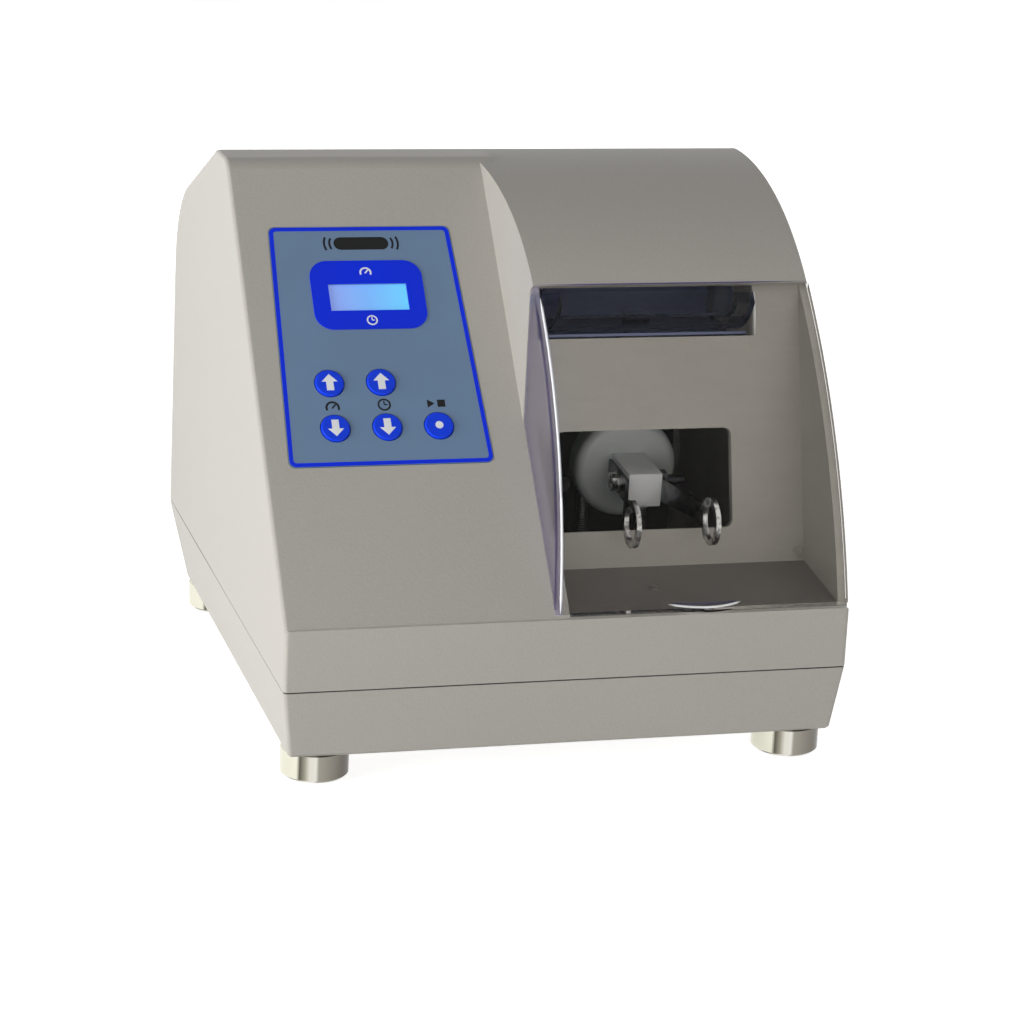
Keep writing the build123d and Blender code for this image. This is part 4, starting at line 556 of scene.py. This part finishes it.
def rounded(corners, radius, count=5):
    """A closed outline of (x, y) corners with each corner rounded."""
    points = []
    size = len(corners)
    for index, corner in enumerate(corners):
        here = Vector(corner)
        before = (Vector(corners[index - 1]) - here).normalized()
        after = (Vector(corners[(index + 1) % size]) - here).normalized()
        half = math.acos(max(-1, min(1, before.dot(after)))) / 2
        reach = radius / math.tan(half)
        centre = here + (before + after).normalized() * (radius / math.sin(half))
        first = here + before * reach - centre
        last = here + after * reach - centre
        turn = first.angle_signed(last)
        for step in range(count):
            angle = -turn * step / (count - 1)
            spin = Matrix.Rotation(angle, 2)
            points.append(tuple(centre + spin @ first))
    return points


def panel_corners(inset):
    """Corners of the tapered keypad panel, moved in."""
    low, high = 76.0 / 2 - inset, 69.0 / 2 - inset
    return [(-low, 62.9 + inset), (low, 62.9 + inset), (high, 162.6 - inset), (-high, 162.6 - inset)]


mesh = bmesh.new()
slab(mesh, rounded(panel_corners(0.15), 2.4), PANEL_TOP, PANEL_TOP + PRINT, [rounded(panel_corners(1.7), 1.2)])
keep_mesh("panel_border", mesh, "blue_print", "case")

# ------------------------------------------------------------------ key signs
PITCH_X = 19.3
LOW_ROW = 78.2
ROW_PITCH = 18.4
ARROWS = {
    "key_speed_up": (-PITCH_X, LOW_ROW + ROW_PITCH, 1),
    "key_speed_down": (-PITCH_X, LOW_ROW, -1),
    "key_timer_up": (0.0, LOW_ROW + ROW_PITCH, 1),
    "key_timer_down": (0.0, LOW_ROW, -1),
}
ARROW = [(0, 3.5), (3.0, 0.4), (1.35, 0.4), (1.35, -3.2), (-1.35, -3.2), (-1.35, 0.4), (-3.0, 0.4)]
for key, (across, up, way) in ARROWS.items():
    mesh = bmesh.new()
    slab(mesh, [(across + x, up + way * y) for x, y in ARROW], KEY_TOP, KEY_TOP + PRINT)
    keep_mesh(key.replace("key", "arrow"), mesh, "white_print", key)
mesh = bmesh.new()
slab(mesh, arc_points((PITCH_X, LOW_ROW), 1.5, 0, 350, 24), KEY_TOP, KEY_TOP + PRINT)
keep_mesh("dot_start_stop", mesh, "white_print", "key_start_stop")

# ------------------------------------------------------------------ plain signs on the panel
LABEL_ROW = 87.4
BEZEL_UPPER = 143.2
BEZEL_LOWER = 122.4
TITLE_ROW = 155.4
DOTS = 24


def ring_sign(mesh, centre, radius, width, low, start=0, end=360):
    """A ring or an arc of a given width, printed on the sloped face."""
    if end - start >= 360:
        outer = arc_points(centre, radius, 0, 345, DOTS)
        inner = arc_points(centre, radius - width, 0, 345, DOTS)
        slab(mesh, outer, low, low + PRINT, [inner])
    else:
        outer = arc_points(centre, radius, start, end, DOTS)
        inner = arc_points(centre, radius - width, end, start, DOTS)
        slab(mesh, outer + inner, low, low + PRINT)


def bar_sign(mesh, start, end, width, low):
    """A straight printed bar between two points."""
    way = (Vector(end) - Vector(start)).normalized() * (width / 2)
    side = Vector((-way.y, way.x))
    corners = [Vector(start) - side, Vector(end) - side, Vector(end) + side, Vector(start) + side]
    slab(mesh, [tuple(corner) for corner in corners], low, low + PRINT)


def gauge_sign(mesh, centre, size, low):
    """A dial with a needle, for speed."""
    across, up = centre
    ring_sign(mesh, centre, size, size * 0.3, low, -25, 205)
    bar_sign(mesh, (across - size * 0.1, up - size * 0.1), (across + size * 0.45, up + size * 0.5), size * 0.24, low)


def clock_sign(mesh, centre, size, low):
    """A clock face with two hands, for time."""
    across, up = centre
    ring_sign(mesh, centre, size, size * 0.27, low)
    bar_sign(mesh, (across, up), (across, up + size * 0.62), size * 0.2, low)
    bar_sign(mesh, (across, up), (across + size * 0.48, up), size * 0.2, low)


def start_stop_sign(mesh, centre, size, low):
    """A triangle and a square, for start and stop."""
    across, up = centre
    slab(mesh, [
        (across - size * 1.5, up - size * 0.8), (across - size * 0.2, up), (across - size * 1.5, up + size * 0.8),
    ], low, low + PRINT)
    slab(mesh, [
        (across + size * 0.3, up - size * 0.7), (across + size * 1.7, up - size * 0.7),
        (across + size * 1.7, up + size * 0.7), (across + size * 0.3, up + size * 0.7),
    ], low, low + PRINT)


def capsule_sign(mesh, centre, length, height, low):
    """A capsule seen from the side, with shaking marks at its two ends."""
    across, up = centre
    half, radius = length / 2, height / 2
    outline = arc_points((across + half - radius, up), radius, -90, 90, 9)
    outline += arc_points((across - half + radius, up), radius, 90, 270, 9)
    slab(mesh, outline, low, low + PRINT)
    for side in (-1, 1):
        for step in (1, 2):
            middle = 0 if side > 0 else 180
            spread = 38 - 6 * step
            ring_sign(mesh, (across + side * (half - radius), up), radius + 2.0 * step, 0.8, low,
                      middle - spread, middle + spread)


mesh = bmesh.new()
gauge_sign(mesh, (-PITCH_X, LABEL_ROW - 0.8), 2.7, PANEL_TOP)
clock_sign(mesh, (0, LABEL_ROW), 2.5, PANEL_TOP)
start_stop_sign(mesh, (PITCH_X, LABEL_ROW), 2.1, PANEL_TOP)
capsule_sign(mesh, (0, TITLE_ROW), 21.0, 5.4, PANEL_TOP)
keep_mesh("panel_signs", mesh, "black_print", "case")
mesh = bmesh.new()
gauge_sign(mesh, (0, BEZEL_UPPER - 0.6), 2.3, BEZEL_TOP)
clock_sign(mesh, (0, BEZEL_LOWER), 2.1, BEZEL_TOP)
keep_mesh("bezel_signs", mesh, "white_print", "case")

# ------------------------------------------------------------------ painted highlights and shade lines on the edges of the lid
STEP_X = -6.5
STEP_TAN = 0.15838
SEAM_Y, SEAM_Z = -55.5, 166.6
FRONT_Y = -121.0


def line_piece(name, points, radius, look, body):
    """A thin round line through points in millimetres, as a mesh, riding on a body."""
    mesh = bmesh.new()
    rings = []
    for index, point in enumerate(points):
        here = Vector(point)
        way = (Vector(points[min(index + 1, len(points) - 1)]) - Vector(points[max(index - 1, 0)])).normalized()
        side = way.cross(Vector((0, 0, 1)) if abs(way.z) < 0.9 else Vector((1, 0, 0))).normalized()
        over = side.cross(way)
        thick = radius if 0 < index < len(points) - 1 else radius * 0.4
        rings.append([
            mesh.verts.new((here + (side * math.cos(turn) + over * math.sin(turn)) * thick) * MM)
            for turn in (math.tau * step / 8 for step in range(8))
        ])
    for first, second in zip(rings, rings[1:]):
        for step in range(8):
            after = (step + 1) % 8
            mesh.faces.new((first[step], first[after], second[after], second[step]))
    mesh.faces.new(rings[0])
    mesh.faces.new(rings[-1])
    for face in mesh.faces:
        face.smooth = True
    keep_mesh(name, mesh, look, body)


def flank_edge(start, end, inset_x, inset_radius, count=25):
    """Points along the left front edge of the lid, between two angles of its arc."""
    points = []
    for step in range(count):
        angle = math.radians(start + (end - start) * step / (count - 1))
        y = ARC_Y + (ARC_RADIUS - inset_radius) * math.cos(angle)
        z = ARC_Z + (ARC_RADIUS - inset_radius) * math.sin(angle)
        out = (z - BAND_Z) * SLOPE_COS - (y - LEDGE_Y) * SLOPE_SIN
        points.append((STEP_X + STEP_TAN * out + inset_x, y, z))
    return points


# Painted highlight along the left front edge of the lid, and a painted dark line just inside it
line_piece("lid_edge_highlight", flank_edge(164.2, 135.4, 1.7, -0.1), 0.5, "edge_highlight", "lid")
line_piece("lid_edge_shade_line", flank_edge(164.2, 135.4, 0.4, 1.6), 0.4, "edge_shade_line", "lid")
# Painted highlight along the front of the finger lip, and a painted dark line behind it
lip_front = [(50 + 13.6 * t, FRONT_Y - 0.45 + 4.6 * t * t, 62.35) for t in (step / 8 for step in range(-8, 9))]
line_piece("lid_lip_highlight", lip_front, 0.42, "edge_highlight", "lid")
lip_back = [(50 + 12.5 * t, FRONT_Y + 2.6 + 1.6 * t * t, 62.6) for t in (step / 8 for step in range(-8, 9))]
line_piece("lid_lip_shade_line", lip_back, 0.3, "edge_shade_line", "lid")
# Painted shade line along the seam between the lid and the housing
seam_way = Vector((SEAM_Y - HINGE_Y, SEAM_Z - HINGE_Z)).normalized() * 20.75
line_piece("seam_shade_line", [
    (x, HINGE_Y + seam_way.x, HINGE_Z + seam_way.y) for x in (-2.4, 20, 50, 80, 104.4)
], 0.28, "edge_shade_line", "case")
# Painted highlight on the right edge of the hinge slot
line_piece("slot_edge_highlight", [(84.15, -58.3, 146.6), (84.15, -56.15, 155.0), (84.15, -54.3, 162.4)], 0.5, "edge_highlight", "case")

# Curved sheet behind the hinge slot, clear of the arms that swing inside it; its bluish grey is painted shade,
# standing in for the dim inside seen through the slot
mesh = bmesh.new()
rows = []
for angle in range(236, 352, 5):
    way = Vector((0, math.cos(math.radians(angle)), math.sin(math.radians(angle))))
    for reach in (29.4, 30.4):
        rows.append([
            mesh.verts.new((Vector((x, HINGE_Y, HINGE_Z)) + way * reach) * MM) for x in (0.5, 20, 40, 60, 83)
        ])
for row in range(0, len(rows) - 2, 2):
    for low, high in ((rows[row], rows[row + 2]), (rows[row + 1], rows[row + 3])):
        for step in range(4):
            mesh.faces.new((low[step], low[step + 1], high[step + 1], high[step]))
    for step in (0, 4):
        mesh.faces.new((rows[row][step], rows[row + 2][step], rows[row + 3][step], rows[row + 1][step]))
for near, far in ((rows[0], rows[1]), (rows[-2], rows[-1])):
    for step in range(4):
        mesh.faces.new((near[step], near[step + 1], far[step + 1], far[step]))
keep_mesh("slot_shade_sheet", mesh, "slot_shade", "case")

# ------------------------------------------------------------------ stage, light and camera
FLOOR = 3.0
SIDE_LIGHT = 0.2
TOP_LIGHT = 0.1
mesh = bmesh.new()
bmesh.ops.create_grid(mesh, x_segments=1, y_segments=1, size=FLOOR)
data = bpy.data.meshes.new("floor")
mesh.to_mesh(data)
mesh.free()
floor = bpy.data.objects.new("floor", data)
scene.collection.objects.link(floor)
floor_material = bpy.data.materials.new("floor_white")
floor_material.use_nodes = True
tree = floor_material.node_tree
tree.nodes["Principled BSDF"].inputs["Base Color"].default_value = (0.86, 0.86, 0.86, 1)
tree.nodes["Principled BSDF"].inputs["Roughness"].default_value = 0.9
glow = tree.nodes.new("ShaderNodeEmission")
glow.inputs["Color"].default_value = (1, 1, 1, 1)
path = tree.nodes.new("ShaderNodeLightPath")
seen = tree.nodes.new("ShaderNodeMath")
seen.operation = "MAXIMUM"
tree.links.new(path.outputs["Is Camera Ray"], seen.inputs[0])
tree.links.new(path.outputs["Is Glossy Ray"], seen.inputs[1])
also = tree.nodes.new("ShaderNodeMath")
also.operation = "MAXIMUM"
tree.links.new(seen.outputs[0], also.inputs[0])
tree.links.new(path.outputs["Is Transmission Ray"], also.inputs[1])
strength = tree.nodes.new("ShaderNodeMath")
strength.operation = "MULTIPLY"
strength.inputs[1].default_value = 0.8
tree.links.new(also.outputs[0], strength.inputs[0])
tree.links.new(strength.outputs[0], glow.inputs["Strength"])
both = tree.nodes.new("ShaderNodeAddShader")
tree.links.new(tree.nodes["Principled BSDF"].outputs[0], both.inputs[0])
tree.links.new(glow.outputs[0], both.inputs[1])
tree.links.new(both.outputs[0], tree.nodes["Material Output"].inputs["Surface"])
data.materials.append(floor_material)

world = bpy.data.worlds.new("studio")
scene.world = world
world.use_nodes = True
tree = world.node_tree
background = tree.nodes["Background"]
background.inputs["Color"].default_value = (1, 1, 1, 1)
path = tree.nodes.new("ShaderNodeLightPath")
seen = tree.nodes.new("ShaderNodeMath")
seen.operation = "MAXIMUM"
tree.links.new(path.outputs["Is Camera Ray"], seen.inputs[0])
tree.links.new(path.outputs["Is Glossy Ray"], seen.inputs[1])
also = tree.nodes.new("ShaderNodeMath")
also.operation = "MAXIMUM"
tree.links.new(seen.outputs[0], also.inputs[0])
tree.links.new(path.outputs["Is Transmission Ray"], also.inputs[1])
# Softer from above than from the sides, as in a light tent
where = tree.nodes.new("ShaderNodeSeparateXYZ")
tree.links.new(tree.nodes.new("ShaderNodeTexCoord").outputs["Generated"], where.inputs[0])
sky = tree.nodes.new("ShaderNodeMapRange")
sky.inputs["From Min"].default_value = 0.0
sky.inputs["From Max"].default_value = 1.0
sky.inputs["To Min"].default_value = SIDE_LIGHT
sky.inputs["To Max"].default_value = TOP_LIGHT
tree.links.new(where.outputs["Z"], sky.inputs["Value"])
level = tree.nodes.new("ShaderNodeMix")
tree.links.new(also.outputs[0], level.inputs["Factor"])
tree.links.new(sky.outputs["Result"], level.inputs["A"])
level.inputs["B"].default_value = 1.0
tree.links.new(level.outputs["Result"], background.inputs["Strength"])


def lamp(name, place, target, size, power):
    """A soft rectangular lamp that points at a target, in metres."""
    light = bpy.data.lights.new(name, "AREA")
    light.shape = "RECTANGLE"
    light.size, light.size_y = size
    light.energy = power
    stand = bpy.data.objects.new(name, light)
    scene.collection.objects.link(stand)
    stand.location = place
    stand.rotation_mode = "QUATERNION"
    stand.rotation_quaternion = (Vector(target) - Vector(place)).to_track_quat("-Z", "Y")
    stand.visible_glossy = False
    stand.visible_transmission = False


lamp("key_left", (-1.25, -0.35, 0.2), (0, 0, 0.1), (0.9, 0.6), 19)
lamp("fill_front", (-0.3, -1.9, 0.45), (0, 0, 0.1), (1.2, 0.8), 11)
lamp("fill_back", (0.1, 1.8, 0.35), (0, 0, 0.1), (1.2, 0.8), 13)
lamp("fill_right", (1.75, 0.35, 0.3), (0, 0, 0.1), (1.2, 0.8), 14)

PHOTO_SIDE = 1024
FOCAL = 3196.4
OFFSET_X = -11.85
OFFSET_Z = -106.88
DISTANCE = 1.22801
YAW, PITCH, ROLL = (math.radians(value) for value in (15.963, 14.92, 2.783))
LOOK_AT = Vector((0, -0.011, 0.1091))
forward = Vector((
    math.sin(YAW) * math.cos(PITCH), math.cos(YAW) * math.cos(PITCH), -math.sin(PITCH),
))
right = Vector((math.cos(YAW), -math.sin(YAW), 0))
up = right.cross(forward)
rolled_right = right * math.cos(ROLL) + up * math.sin(ROLL)
rolled_up = up * math.cos(ROLL) - right * math.sin(ROLL)
camera_data = bpy.data.cameras.new("camera")
camera_data.sensor_width = 36.0
camera_data.lens = 36.0 * FOCAL / PHOTO_SIDE
camera_data.shift_x = -OFFSET_X / PHOTO_SIDE
camera_data.shift_y = OFFSET_Z / PHOTO_SIDE
camera = bpy.data.objects.new("camera", camera_data)
scene.collection.objects.link(camera)
turn = Matrix((rolled_right, rolled_up, -forward)).transposed().to_4x4()
camera.matrix_world = Matrix.Translation(LOOK_AT - forward * DISTANCE) @ turn
scene.camera = camera
scene.view_settings.view_transform = "Standard"
